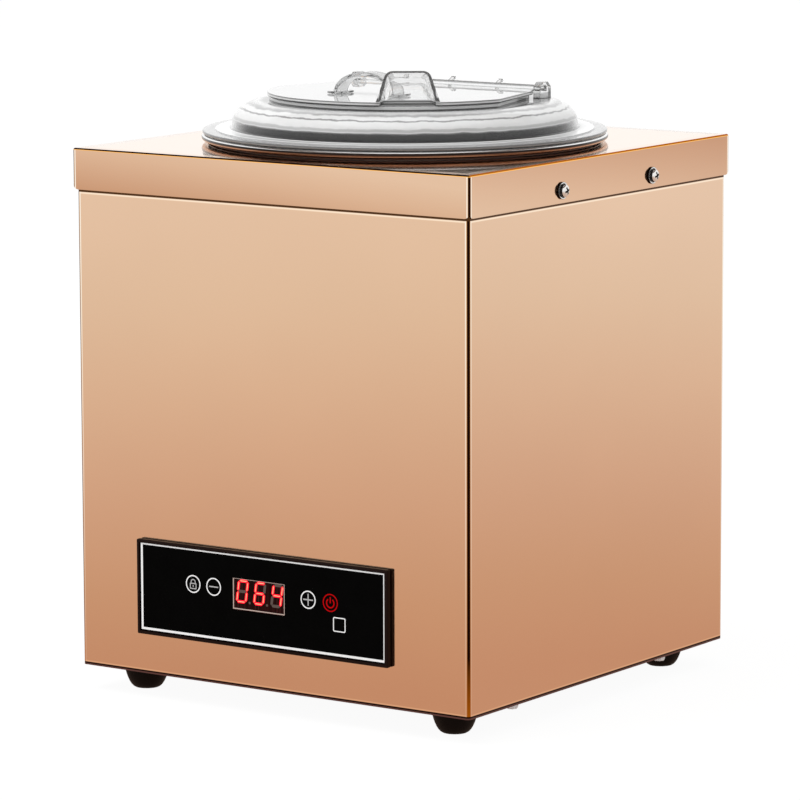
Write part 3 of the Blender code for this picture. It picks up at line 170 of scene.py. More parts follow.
def turned(profile, closed=False, steps=AROUND, place=None, ripple=None):
    """Turn a profile of (radius, height) about Z; ripple(angle, height) may scale the radius."""
    angles = [2 * pi * i / steps for i in range(steps)]
    loops = []
    for r, z in profile:
        spokes = [(a, r * (ripple(a, z) if ripple else 1)) for a in angles]
        loops.append([(reach * cos(a), reach * sin(a), z) for a, reach in spokes] if r > 1e-5 else [(0, 0, z)])
    bm = bmesh.new()
    bridged(bm, loops, closed)
    return shape_of(bm, place)


def lofted(sections, place=None):
    """A closed solid through loops of 3-D points, all with the same count."""
    bm = bmesh.new()
    loops = bridged(bm, sections)
    bm.faces.new(loops[0])
    bm.faces.new(list(reversed(loops[-1])))
    return shape_of(bm, place)


def inset_outline(outline, distance):
    """Move a closed outline inwards along its corner bisectors."""
    count = len(outline)
    area = sum(a[0] * b[1] - b[0] * a[1] for a, b in zip(outline, outline[1:] + outline[:1]))
    turn = 1 if area > 0 else -1
    made = []
    for i in range(count):
        here = Vector(outline[i])
        back = (here - Vector(outline[i - 1])).normalized()
        ahead = (Vector(outline[(i + 1) % count]) - here).normalized()
        side = Vector((-back.y, back.x)) + Vector((-ahead.y, ahead.x))
        if side.length < 1e-6:
            side = Vector((-back.y, back.x))
        side.normalize()
        share = max(0.5, side.dot(Vector((-back.y, back.x))))
        made.append(tuple(here + side * (turn * distance / share)))
    return made


def plate(outline, low, high, edge=0.4, steps=4, place=None):
    """An outline in XY raised between two heights, with rounded rims."""
    levels = []
    for i in range(steps + 1):
        a = radians(90 * i / steps)
        levels.append((edge * (1 - sin(a)), low + edge * (1 - cos(a))))
    levels += [(inset, high - (z - low)) for inset, z in reversed(levels)]
    sections = []
    for inset, z in levels:
        loop = inset_outline(outline, inset) if inset > 1e-6 else outline
        sections.append([(x, y, z) for x, y in loop])
    return lofted(sections, place)


def upright(centre, facing):
    """Stand an outline of (across, height) up, its thickness along facing."""
    facing = Vector(facing).normalized()
    across = Vector((0, 0, 1)).cross(facing)
    turn = Matrix((across, Vector((0, 0, 1)), facing)).transposed().to_4x4()
    return Matrix.Translation(centre) @ turn


def along(start, direction):
    """Stand a turned shape along a direction."""
    turn = Vector(direction).to_track_quat("Z", "Y").to_matrix().to_4x4()
    return Matrix.Translation(start) @ turn


def rod(start, end, radius, steps=64, edge=0):
    start, end = Vector(start), Vector(end)
    long = (end - start).length
    if edge:
        profile = [(0, 0)] + arc(radius - edge, edge, edge, -90, 0, 4)
        profile += arc(radius - edge, long - edge, edge, 0, 90, 4) + [(0, long)]
    else:
        profile = [(0, 0), (radius, 0), (radius, long), (0, long)]
    return turned(profile, steps=steps, place=along(start, end - start))


def block(low, high, edge=0, steps=4, which=None):
    """A box; the edges that which(edge direction, middle) accepts are rounded."""
    bm = bmesh.new()
    bmesh.ops.create_cube(bm, size=1)
    for v in bm.verts:
        v.co = [l + (c + 0.5) * (h - l) for l, h, c in zip(low, high, v.co)]
    if edge:
        chosen = []
        for e in bm.edges:
            a, b = e.verts[0].co, e.verts[1].co
            if which is None or which((b - a).normalized(), (a + b) / 2):
                chosen.append(e)
        bmesh.ops.bevel(bm, geom=chosen, offset=edge, segments=steps, profile=0.5, affect="EDGES")
    return shape_of(bm)


def box_mm(node):
    """A node's corners in millimetres about the axis."""
    low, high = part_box(node)
    shift = Vector((0, AXIS_Y, 0))
    return low * 1000 - shift, high * 1000 - shift


def middle_mm(node):
    low, high = box_mm(node)
    return (low + high) / 2


def dressed(thing, name, body, finish, replaces=(), sharp=32, level=True):
    """Turn a shape into a finished piece that rides on a body."""
    thing.name = name
    thing.data.name = name
    thing.data.transform(TO_METRES)
    thing.data.polygons.foreach_set("use_smooth", [True] * len(thing.data.polygons))
    thing.data.set_sharp_from_angle(angle=radians(sharp))
    if level:
        even = thing.modifiers.new("even", "WEIGHTED_NORMAL")
        even.mode = "FACE_AREA"
        even.keep_sharp = True
        applied(thing)
        thing.data.name = name
    thing.data.materials.clear()
    thing.data.materials.append(finish)
    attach(thing, body)
    if replaces:
        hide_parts(*replaces)
    return thing


# ---- materials

class Nodes:
    """Shader nodes under construction in one tree."""

    def __init__(self, tree):
        self.tree = tree

    def add(self, kind, links=None, **values):
        """A node with links to its sockets, and with settings and socket values by name."""
        node = self.tree.nodes.new("ShaderNode" + kind)
        for key, value in values.items():
            if hasattr(node, key):
                setattr(node, key, value)
            else:
                node.inputs[key.replace("_", " ")].default_value = value
        for key, source in (links or {}).items():
            self.tree.links.new(source, node.inputs[key])
        return node

    def feed(self, socket, value):
        """Link a socket, or set it to a number or a colour."""
        if isinstance(value, bpy.types.NodeSocket):
            self.tree.links.new(value, socket)
        else:
            socket.default_value = value + (1,) if isinstance(value, tuple) else value

    def math(self, operation, *values):
        made = self.add("Math", operation=operation)
        for socket, value in zip(made.inputs, values):
            self.feed(socket, value)
        return made.outputs[0]

    def times(self, a, b):
        return self.math("MULTIPLY", a, b)

    def plus(self, a, b):
        return self.math("ADD", a, b)

    def minus(self, a, b):
        return self.math("SUBTRACT", a, b)

    def most(self, a, b):
        return self.math("MAXIMUM", a, b)

    def size(self, a):
        return self.math("ABSOLUTE", a)

    def line(self, a, slope, start):
        return self.math("MULTIPLY_ADD", a, slope, start)

    def reach(self, x, y):
        return self.math("SQRT", self.plus(self.times(x, x), self.times(y, y)))

    def split(self, vector):
        return self.add("SeparateXYZ", {"Vector": vector}).outputs

    def ramp(self, factor, stops):
        made = self.add("ValToRGB", {"Fac": factor})
        elements = made.color_ramp.elements
        while len(elements) < len(stops):
            elements.new(0.5)
        for element, (position, colour) in zip(elements, stops):
            element.position = position
            element.color = (tuple(colour) if hasattr(colour, "__len__") else (colour,) * 3) + (1,)
        return made.outputs["Color"]

    def bands(self, value, stops):
        """A ramp whose stops are given in the value's own unit."""
        low, high = stops[0][0], stops[-1][0]
        share = self.line(value, 1 / (high - low), -low / (high - low))
        return self.ramp(share, [((at - low) / (high - low), colour) for at, colour in stops])

    def mix(self, factor, a, b, blend="MIX"):
        made = self.add("Mix", data_type="RGBA", blend_type=blend)
        for i, value in ((0, factor), (6, a), (7, b)):
            self.feed(made.inputs[i], value)
        return made.outputs[2]

    def blend(self, share, plain, other):
        """A mix of two shaders."""
        made = self.add("MixShader", {1: plain.outputs[0], 2: other.outputs[0]})
        self.feed(made.inputs[0], share)
        return made


class Finish(Nodes):
    """A material under construction round its main shader."""

    def __init__(self, name):
        self.material = bpy.data.materials.new(name)
        self.material.use_nodes = True
        super().__init__(self.material.node_tree)
        self.shader = self.tree.nodes["Principled BSDF"]

    def done(self, **values):
        """Set or link the shader's sockets, and return the material."""
        for key, value in values.items():
            self.feed(self.shader.inputs[key.replace("_", " ")], value)
        return self.material

    def place(self, stretch=(1, 1, 1), shift=(0, 0, 0)):
        where = self.add("TexCoord").outputs["Object"]
        return self.add("Mapping", {"Vector": where}, Scale=stretch, Location=shift).outputs["Vector"]

    def noise(self, where, scale, detail=4, roughness=0.55):
        made = self.add("TexNoise", {"Vector": where}, Scale=scale, Detail=detail, Roughness=roughness)
        return made.outputs["Fac"]

    def range(self, value, low, high):
        """Spread the middle of a noise between two values."""
        made = self.add("MapRange", {"Value": value}, From_Min=0.3, From_Max=0.7, To_Min=low, To_Max=high)
        return made.outputs["Result"]

    def bump(self, height, strength, distance):
        made = self.add("Bump", {"Height": height}, Strength=strength, Distance=distance)
        self.done(Normal=made.outputs["Normal"])

    def millimetres(self):
        """Where the surface is, in millimetres about the cabinet's axis."""
        return self.split(self.place((1000, 1000, 1000), (0, -AXIS_Y, 0)))

    def facing(self):
        return self.split(self.add("NewGeometry").outputs["Normal"])

    def around_axis(self, tight, loose):
        """Coordinates of a lathe-turned surface: fine across the cut, long around the axis."""
        x, y, z = self.split(self.place(shift=(0, -AXIS_Y / 1000, 0)))
        across, angle = self.times(self.reach(x, y), tight), self.times(self.math("ARCTAN2", y, x), loose)
        return self.add("CombineXYZ", {0: across, 1: angle, 2: self.times(z, tight)}).outputs[0]


def tone(colour, share):
    return tuple(min(1, c * share) for c in colour)


def surface(name, colour, rough, metallic=0, vary=0.10, grain=600, stretch=(1, 1, 1), rough_vary=0.06,
            bump=0.15, depth=0.00005, detail=4, **more):
    """A finish with grain in its colour, gloss and relief."""
    finish = Finish(name)
    where = finish.place(stretch)
    fine = finish.noise(where, grain, detail)
    broad = finish.noise(where, grain / 12, 2)
    both = finish.plus(finish.times(fine, 0.6), finish.times(broad, 0.4))
    stops = [(0.3, tone(colour, 1 - vary)), (0.7, tone(colour, 1 + vary))]
    gloss = finish.range(broad, max(0.02, rough - rough_vary), min(1, rough + rough_vary))
    finish.bump(fine, bump, depth)
    return finish.done(Base_Color=finish.ramp(both, stops), Roughness=gloss, Metallic=metallic, **more)


ROSE = (0.775, 0.522, 0.348)


def painted_bend_reflection(finish, colour, half, dark, amber, pale):
    """Painted reflection: the near-black line with amber and pale flanks that the polished sheet shows where it
    folds round an upright edge.

    The numbers are distances from the corner, measured along both sides together.
    """
    x, y, height = finish.millimetres()
    gap_x = finish.minus(half, finish.size(x))
    gap_y = finish.minus(half, finish.size(y))
    reach = finish.plus(gap_x, gap_y)

    def until(end, start, soft=0.1):
        return finish.bands(reach, [(start, 1), (end - soft, 1), (end + soft, 0), (end + 1, 0)])

    flank, warm, line = until(pale, amber, 0.15), until(amber, dark), until(dark, dark - 0.4)
    # Painted reflection: the line is amber near the foot and near black higher up.
    low = finish.bands(height, [(15, (0.50, 0.17, 0.005)), (26, (0.34, 0.11, 0.005)), (50, (0.012, 0.003, 0.002))])
    flank = finish.times(flank, finish.bands(height, [(15, 0.35), (120, 1)]))
    made = finish.mix(flank, colour, (1, 0.88, 0.74))
    made = finish.mix(warm, made, (0.62, 0.27, 0.05))
    return finish.mix(line, made, low), line


def edge_fall(finish):
    """The top sheet falls a little towards its folded edges."""
    x, y, _ = finish.millimetres()
    near = finish.most(finish.size(x), finish.size(y))
    finish.bump(finish.bands(near, [(132, 1), (138.8, 0), (141, 0)]), 1, 0.00045)


def painted_top_fold_reflection(finish, colour):
    """Painted reflection: the amber and brown lines of the cover's top fold, the brown darker on the front and
    back than on the sides.
    """
    nx, ny, z = finish.facing()
    amber = finish.ramp(z, [(0.02, 0), (0.08, 1), (0.30, 1), (0.36, 0)])
    made = finish.mix(amber, colour, (1, 0.50, 0.10))
    brown = finish.ramp(z, [(0.30, 0), (0.36, 1), (0.975, 1), (0.995, 0)])
    across = finish.minus(finish.times(nx, nx), finish.times(ny, ny))
    side = finish.ramp(across, [(0, 0), (0.02, 1)])
    tint = finish.mix(side, (0.075, 0.010, 0.001), (0.50, 0.19, 0.03))
    return finish.mix(brown, made, tint), brown, tint


def painted_wall_highlights(finish, colour):
    """Painted highlights: bright lines under the cover's skirt and along the turned edge at the foot of the walls.
    """
    height = finish.millimetres()[2]
    bright = finish.bands(height, [(296.6, 0), (297.1, 1), (297.6, 1), (297.85, 0)])
    made = finish.mix(bright, colour, (1, 0.80, 0.60))
    edge = finish.bands(height, [(16.7, 0), (16.9, 1), (17.5, 1), (17.8, 0)])
    return finish.mix(edge, made, (1, 0.74, 0.50))


def painted_wall_shade(finish, colour):
    """Painted shade: the shut line under the skirt, and in the dark hem at the foot a black band of gap shade
    above a mauve strip.
    """
    height = finish.millimetres()[2]
    shut = finish.bands(height, [(297.75, 0), (298, 1)])
    made = finish.mix(shut, colour, (0.075, 0.030, 0.010))
    hem = finish.bands(height, [(16.7, 1), (16.95, 0)])
    mauve, black = (0.15, 0.095, 0.10), (0.010, 0.003, 0.003)
    tint = finish.bands(height, [(15, mauve), (15.7, mauve), (16.1, black), (17, black)])
    return finish.mix(hem, made, tint), finish.most(hem, shut)


def rose_metal(name, skirt=False):
    """Mirror-polished sheet with a rose-gold coat under clear lacquer; painted reflections, highlights and shade
    lie along its folds and edges, and the lacquer is left off the painted lines.
    """
    finish = Finish(name)
    where = finish.place()
    cloud = finish.noise(where, 9, 2)
    colour = finish.ramp(cloud, [(0.25, tone(ROSE, 0.985)), (0.75, tone(ROSE, 1.015))])
    if skirt:
        colour = painted_skirt_reflection(finish, where, colour)
        colour, line = painted_bend_reflection(finish, colour, 140, 1.06, 1.30, 2.1)
        colour, other, tint = painted_top_fold_reflection(finish, colour)
        finish.done(Specular_Tint=finish.mix(other, (1, 0.97, 0.94), tint))
        edge_fall(finish)
    else:
        colour, line = painted_bend_reflection(finish, painted_wall_highlights(finish, colour), 138.4, 1.56, 1.80, 2.6)
        colour, other = painted_wall_shade(finish, colour)
    covered = finish.minus(1, finish.most(line, other))
    brushed = finish.noise(finish.place((1, 1, 40)), 60, 3)
    return finish.done(Base_Color=colour, Metallic=1, Roughness=finish.range(brushed, 0.085, 0.115),
                       Coat_Weight=finish.times(covered, 0.6), Coat_Roughness=0.03, Coat_IOR=1.5)


def painted_skirt_reflection(finish, where, colour):
    """Painted reflection on the folded skirt: the front grows darker downwards and to the left, each side darker
    upwards and to the rear.
    """
    x, y, z = finish.split(where)
    nx, ny, nz = finish.facing()
    down = finish.times(finish.minus(COVER_TOP / 1000, z), 1000 / (COVER_TOP - COVER_LOW))
    along_front = finish.line(x, -0.55 / 0.28, 0.05)
    along_side = finish.line(finish.minus(y, AXIS_Y / 1000), 0.60 / 0.28, 0.78)
    front = finish.times(finish.line(down, 0.62, along_front), finish.times(ny, ny))
    side = finish.times(finish.line(down, -0.42, along_side), finish.times(nx, nx))
    stops = [(0, 1), (0.35, (0.93, 0.86, 0.81)), (1, (0.73, 0.54, 0.42))]
    return finish.mix(1, colour, finish.ramp(finish.plus(front, side), stops), "MULTIPLY")


def well_finish(name):
    """Spun steel; outside, under its rim, painted shade: near black where it faces up, dark brown elsewhere, and
    not metallic.
    """
    colour = (0.55, 0.55, 0.54)
    finish = Finish(name)
    where = finish.around_axis(900, 1.6)
    lines = finish.noise(where, 1, 6, 0.65)
    x, y, _ = finish.millimetres()
    side = finish.bands(finish.reach(x, y), [(112.2, 0), (112.8, 1)])
    plain = finish.ramp(lines, [(0.3, tone(colour, 0.86)), (0.7, tone(colour, 1.10))])
    outside = finish.ramp(finish.facing()[2], [(0.3, (0.15, 0.085, 0.065)), (0.6, (0.012, 0.008, 0.007))])
    finish.bump(lines, 0.25, 0.00003)
    return finish.done(Base_Color=finish.mix(side, plain, outside), Roughness=finish.range(lines, 0.25, 0.36),
                       Metallic=finish.minus(1, side), Anisotropic=0.4, Specular_IOR_Level=0.1)


def pot_finish(name):
    """Spun steel; the rolled bead's outer side carries a painted dark reflection, with painted copper streaks
    beneath it that stand in for the cover it mirrors.
    """
    finish = Finish(name)
    lines = finish.noise(finish.around_axis(900, 1.6), 1, 6, 0.65)
    colour = (0.80, 0.79, 0.78)
    plain = finish.ramp(lines, [(0.3, tone(colour, 0.86)), (0.7, tone(colour, 1.10))])
    x, y, _ = finish.millimetres()
    side = finish.bands(finish.reach(x, y), [(118.4, 0), (119, 1)])
    turn = finish.line(finish.facing()[2], 0.5, 0.5)
    streaks = finish.ramp(lines, [(0.40, (0.34, 0.20, 0.15)), (0.62, (0.85, 0.66, 0.55))])
    shade = finish.ramp(turn, [(0.30, 1), (0.40, (0.10, 0.055, 0.045)), (0.50, (0.022, 0.016, 0.014)),
                               (0.70, (0.030, 0.026, 0.024)), (0.745, 1)])
    under = finish.ramp(turn, [(0.42, 1), (0.50, 0)])
    shade = finish.mix(1, shade, finish.mix(under, (0.85, 0.85, 0.85), streaks), "MULTIPLY")
    finish.bump(lines, 0.25, 0.00003)
    return finish.done(Base_Color=finish.mix(side, plain, shade), Roughness=finish.range(lines, 0.15, 0.26),
                       Metallic=1, Anisotropic=0.4)


def clear_lid(name, tint_and_painted_bands, milk_and_painted_sheen, wander=0):
    """Clear moulding with painted reflections: dark and pale bands painted into its tint, and a milky share,
    partly haze and partly painted sheen, change with height, in streaks round the axis.
    """
    finish = Finish(name)
    where = finish.place()
    haze = finish.noise(where, 140, 3)
    fine = finish.ramp(haze, [(0.35, (0.965, 0.97, 0.97)), (0.65, (1, 1, 1))])
    _, y, height = finish.millimetres()
    streaks = finish.noise(finish.around_axis(260, 4), 1, 3)
    waves = finish.noise(where, 30, 2)
    finish.bump(finish.line(streaks, 0.35, waves), 0.10, 0.0005)
    if wander:
        drift = finish.noise(finish.around_axis(90, 9), 1, 4)
        drift = finish.times(finish.minus(drift, 0.5), wander)
        dome = finish.bands(height, [(336, 0), (339, 1), (347.4, 1), (348.3, 0)])
        level = finish.line(drift, dome, height)
    else:
        level = height
    tint = finish.bands(level, tint_and_painted_bands)
    share = finish.bands(level, milk_and_painted_sheen)
    # Painted sheen: where the wall turns away from the view it is a light grey and milkier.
    weight = finish.add("LayerWeight", Blend=0.5)
    turned_away = finish.ramp(weight.outputs["Facing"], [(0.55, 0), (0.85, 1)])
    wall = finish.bands(height, [(332.3, 0), (332.8, 1), (337.5, 1), (338.5, 0)])
    away = finish.times(turned_away, wall)
    tint = finish.mix(away, tint, (0.9, 0.9, 0.9))
    share = finish.most(share, finish.times(away, 0.6))
    collar = finish.bands(height, [(348.7, 0), (348.9, 1), (352, 1), (352.3, 0)])
    rear = finish.times(collar, finish.bands(y, [(37, 0), (39, 1)]))
    tint = finish.mix(rear, tint, (0.55, 0.55, 0.55))
    share = finish.times(share, finish.line(rear, -0.7, 1))
    return finish.done(Base_Color=finish.mix(1, fine, tint, "MULTIPLY"), Roughness=finish.range(haze, 0, 0.03),
                       Transmission_Weight=finish.minus(1, share), IOR=1.49)


# Tints and milky shares by height; on the lid and the flap the tints are painted dark and pale bands of
# reflection, and the milky shares partly painted sheen.
LID_PAINTED_BANDS = [(320, 1), (329.2, 0.5), (329.7, 0.22), (330.2, 0.62), (330.7, 0.25), (331.1, 0.30), (331.35, 0.78),
             (332.15, 1), (332.3, 1), (332.5, 0.15), (333.6, 0.22), (336.6, 0.28), (337.6, 0.50), (338.1, 0.95),
             (338.6, 0.62), (339.7, 0.66), (340.3, 0.98), (343.8, 1), (344.15, 0.35), (344.6, 0.45), (344.9, 1),
             (346.3, 1), (346.8, 0.50), (347.5, 0.60), (348, 0.98), (348.45, 1), (348.65, 0.08), (349.3, 0.10),
             (349.6, 0.98), (362, 1)]
LID_MILK_AND_PAINTED_SHEEN = [(320, 0), (329.2, 0.1), (330, 0.45), (332, 0.40), (332.15, 0.90), (332.3, 0.90), (332.5, 0.20),
            (333.6, 0.06), (336.8, 0.08), (338.2, 0.66), (346, 0.72), (348.7, 0.60), (351.3, 0.50), (352, 0.10),
            (362, 0.10)]
FLAP_PAINTED_BANDS = [(348, 1), (351.3, 1), (351.5, 0.06), (352, 0.10), (352.25, 0.85), (352.9, 0.85), (353.15, 0.20),
              (353.6, 0.25), (353.75, 1), (376, 1)]
FLAP_MILK_AND_PAINTED_SHEEN = [(348, 0.2), (351.5, 0.7), (353.7, 0.7), (353.85, 0.55), (354.3, 0.05), (376, 0.05)]
HANDLE_TINTS = [(350, 0.8), (370, 0.7)]
HANDLE_MILK = [(350, 0.03), (370, 0.03)]

rose_wall = rose_metal("rose_gold_wall")
rose_cover = rose_metal("rose_gold_cover", skirt=True)
pot_steel = pot_finish("pot_steel")
well_steel = well_finish("well_steel")
lid_clear = clear_lid("clear_lid", LID_PAINTED_BANDS, LID_MILK_AND_PAINTED_SHEEN, 2.2)
flap_clear = clear_lid("clear_flap", FLAP_PAINTED_BANDS, FLAP_MILK_AND_PAINTED_SHEEN)
handle_clear = clear_lid("clear_handle", HANDLE_TINTS, HANDLE_MILK)
zinc = surface("zinc_plate", (0.60, 0.60, 0.57), 0.34, 1, 0.14, 240, rough_vary=0.10, bump=0.2)
screw_chrome = surface("screw_steel", (0.78, 0.77, 0.75), 0.10, 1, 0.06, 900, rough_vary=0.04, bump=0.08)
panel_black = surface("panel_black", (0.010, 0.004, 0.003), 0.34, 0, 0.25, 2200, bump=0.25, depth=0.00004,
                      Specular_IOR_Level=0.06)
gland_black = surface("gland_black", (0.018, 0.018, 0.018), 0.45, 0, 0.25, 2200, bump=0.3, depth=0.00005)
overlay_black = surface("overlay_black", (0.0015, 0.0015, 0.0015), 0.12, 0, 0.3, 900, bump=0.03,
                        depth=0.00002, rough_vary=0.03, Specular_IOR_Level=0.01)
foot_rubber = surface("foot_rubber", (0.0035, 0.0018, 0.0012), 0.55, 0, 0.35, 1500, bump=0.5, depth=0.0001,
                      Specular_IOR_Level=0.08)
base_dark = surface("base_dark", (0.095, 0.045, 0.038), 0.45, 0, 0.2, 400, bump=0.2)


def printing(name, colour, vary, rough=0.45, **more):
    return surface(name, colour, rough, 0, vary, 1600, bump=0.1, depth=0.00001, **more)


print_white = printing("print_white", (0.86, 0.86, 0.86), 0.06)
print_grey = printing("print_grey", (0.42, 0.42, 0.42), 0.08)
print_red = printing("print_red", (0.48, 0.001, 0.002), 0.08, 0.6, Specular_IOR_Level=0.02)
window_beige = printing("window_edge", (0.50, 0.38, 0.33), 0.1, 0.5)
segment_dark = printing("segment_unlit", (0.080, 0.050, 0.042), 0.12, 0.4)


def glowing(name, colour, strength):
    """A lit segment: its glow is a little stronger in places."""
    finish = Finish(name)
    where = finish.place()
    grain = finish.noise(where, 700, 2)
    shade = finish.ramp(grain, [(0.3, tone(colour, 0.9)), (0.7, tone(colour, 1.05))])
    return finish.done(Base_Color=shade, Emission_Color=shade, Emission_Strength=strength, Roughness=0.6,
                       Specular_IOR_Level=0.05)


segment_red = glowing("segment_lit", (1, 0.010, 0.030), 0.90)
segment_core = glowing("segment_core", (1, 0.30, 0.16), 1)


def display_face():
    finish = Finish("display_face")
    where = finish.place((1, 0, 0.02))
    stripes = finish.noise(where, 900, 1)
    shade = finish.ramp(stripes, [(0.35, (0.008, 0.001, 0.001)), (0.62, (0.024, 0.004, 0.004)),
                                  (0.75, (0.050, 0.012, 0.010))])
    return finish.done(Base_Color=shade, Roughness=finish.range(stripes, 0.12, 0.22), Specular_IOR_Level=0.05)


# ---- camera and light

camera_data = bpy.data.cameras.new("camera")
camera = in_scene("camera", camera_data)
azimuth, elevation, roll, distance = radians(34.686), radians(8.814), radians(-0.1745), 2.860
target = Vector((-0.0041, AXIS_Y / 1000, 0.16765))
back = Vector((sin(azimuth) * cos(elevation), -cos(azimuth) * cos(elevation), sin(elevation)))
camera.location = target + back * distance
aim = (-back).to_track_quat("-Z", "Y").to_matrix().to_4x4() @ Matrix.Rotation(roll, 4, "Z")
camera.rotation_euler = aim.to_euler()
camera_data.lens = 214.95
camera_data.sensor_width = 36
camera_data.clip_end = 200
scene.camera = camera
scene.view_settings.view_transform = "Standard"


def studio_world():
    """White behind, a dark band above it and a bright ceiling, for what metal and lid reflect."""
    world = bpy.data.worlds.new("studio")
    scene.world = world
    world.use_nodes = True
    world.cycles.sampling_method = "NONE"
    world.node_tree.nodes.clear()
    tree = Nodes(world.node_tree)
    height = tree.split(tree.add("TexCoord").outputs["Generated"])["Z"]
    white, warm, grey = (1, 1, 1), (0.10, 0.055, 0.035), (0.12, 0.12, 0.12)
    metal_sees = [(0, white), (0.605, white), (0.66, warm), (0.86, warm), (0.91, white), (1, white)]
    lid_sees = [(0, white), (0.36, white), (0.42, grey), (0.66, grey), (0.74, white), (1, white)]
    mirrored = tree.add("Background", {"Color": tree.ramp(height, metal_sees)}, Strength=1.10)
    through = tree.add("Background", {"Color": tree.ramp(height, lid_sees)}, Strength=1)
    soft = tree.add("Background", Color=(1, 1, 1, 1), Strength=0.80)
    seen = tree.add("Background", Color=(1, 1, 1, 1))
    path = tree.add("LightPath").outputs
    made = tree.blend(path["Is Transmission Ray"], mirrored, through)
    made = tree.blend(path["Is Diffuse Ray"], made, soft)
    made = tree.blend(path["Is Camera Ray"], made, seen)
    tree.add("OutputWorld", {"Surface": made.outputs[0]})


def floor_finish():
    """White floor with the object's shadow; polished sides show it warmer close by."""
    material = bpy.data.materials.new("floor")
    material.use_nodes = True
    material.cycles.emission_sampling = "NONE"
    material.node_tree.nodes.clear()
    tree = Nodes(material.node_tree)
    where = tree.add("TexCoord").outputs["Object"]
    reach = tree.add("VectorMath", {0: where}, operation="LENGTH").outputs["Value"]
    span = 3
    stops = [(0.236, (0.697, 0.471, 0.367)), (0.473, (0.738, 0.542, 0.429)), (0.835, (0.806, 0.644, 0.563)),
             (1.294, (0.886, 0.785, 0.717)), (1.90, (0.942, 0.922, 0.884)), (2.71, (1, 1, 1))]
    shade = tree.ramp(tree.times(reach, 1 / span), [(at / span, colour) for at, colour in stops])
    warm = tree.add("Emission", {"Color": shade})
    white = tree.add("Emission", Strength=1.03)
    plain = tree.add("BsdfDiffuse", Color=(0.90, 0.90, 0.90, 1))
    shown = tree.blend(0.92, plain, white)
    path = tree.add("LightPath").outputs
    clear = tree.plus(path["Is Camera Ray"], path["Is Transmission Ray"])
    made = tree.blend(path["Is Glossy Ray"], tree.blend(clear, plain, shown), warm)
    tree.add("OutputMaterial", {"Surface": made.outputs[0]})
    return material


def make_floor():
    bm = bmesh.new()
    bmesh.ops.create_circle(bm, cap_ends=True, segments=96, radius=60)
    floor = mesh_of(bm, "floor")
    floor.location = (0, AXIS_Y / 1000, 0)
    floor.data.materials.append(floor_finish())


def make_lamp():
    """A soft lamp above, at the front left, which polished sides and the lid don't mirror."""
    data = bpy.data.lights.new("soft_top", "AREA")
    data.shape = "SQUARE"
    data.size, data.energy = 1.4, 26
    lamp = in_scene("soft_top", data)
    lamp.location = (-0.6, -0.9, 2.2)
    lamp.rotation_euler = (Vector((0, 0, 0.15)) - lamp.location).to_track_quat("-Z", "Y").to_euler()
    lamp.visible_glossy = lamp.visible_transmission = False


studio_world()
make_floor()
make_lamp()


# ---- cover and cabinet

def upright_edge(direction, _):
    return abs(direction.z) > 0.9


def screw_holes(near, far):
    """Rods that cut the holes of the cover's screws in both sides."""
    made = []
    for name in CORNERS:
        place = middle_mm(f"cover_screw_{name}")
        side = 1 if place.x > 0 else -1
        made.append(rod((side * near, place.y, place.z), (side * far, place.y, place.z), SCREW_HOLE, 32))
    return made


def skirt_notch(side_x, side_y):
    """What rounds the skirt's lower ends off, and parts them, at one corner."""
    radius, part = 3.2, 0.25
    outline = []
    for i in range(11):
        high = radius * i / 10
        away = (radius - sqrt(radius ** 2 - (radius - high) ** 2)) / sqrt(2) + part
        outline.append((away, COVER_LOW + high))
    full = [(-outline[0][0], COVER_LOW - 1), (outline[0][0], COVER_LOW - 1)] + outline
    full += [(-across, high) for across, high in reversed(outline)]
    place = upright((side_x * COVER_HALF, side_y * COVER_HALF, 0), (side_x, side_y, 0))
    return plate(full, -3, 3, 0.01, 1, place)


def make_cover():
    def folded(direction, middle):
        return not (abs(direction.z) < 0.1 and middle.z < COVER_LOW + 1)

    half, inner = COVER_HALF, COVER_HALF - 1
    tray = block((-half, -half, COVER_LOW), (half, half, COVER_TOP), 1.2, 8, folded)
    hollow = block((-inner, -inner, COVER_LOW - 4), (inner, inner, COVER_TOP - 1))
    hole = rod((0, 0, COVER_TOP - 6), (0, 0, COVER_TOP + 4), COVER_HOLE, AROUND)
    notches = [skirt_notch(side_x, side_y) for side_x in (-1, 1) for side_y in (-1, 1)]
    cut(tray, hollow, hole, *screw_holes(134, 145), *notches)
    dressed(tray, "cover_tray_polished", "housing", rose_cover, ["cover_tray"])


def make_cabinet():
    half, low, high = WALL_HALF, WALL_LOW, WALL_TOP
    body = block((-half, -half, low), (half, half, high), 2.2, 10, upright_edge)
    inner = block((1 - half, 1 - half, low + 1), (half - 1, half - 1, high - 1), 1.2, 4, upright_edge)
    mouth = block((14 - half, 14 - half, low - 4), (half - 14, half - 14, high + 4))
    panel_x, panel_z, wide, tall = -4.6, 67.6, 84.3, 22.8
    window = block((panel_x - wide, -half - 4, panel_z - tall), (panel_x + wide, 5 - half, panel_z + tall))
    gland = middle_mm("gland_body")
    hole = rod((gland.x, half - 5, gland.z), (gland.x, half + 4, gland.z), 8.3, 48)
    cut(body, inner, mouth, window, hole)
    cut(body, *screw_holes(130, 142))
    dressed(body, "cabinet_polished", "housing", rose_wall, ["cabinet_body"])


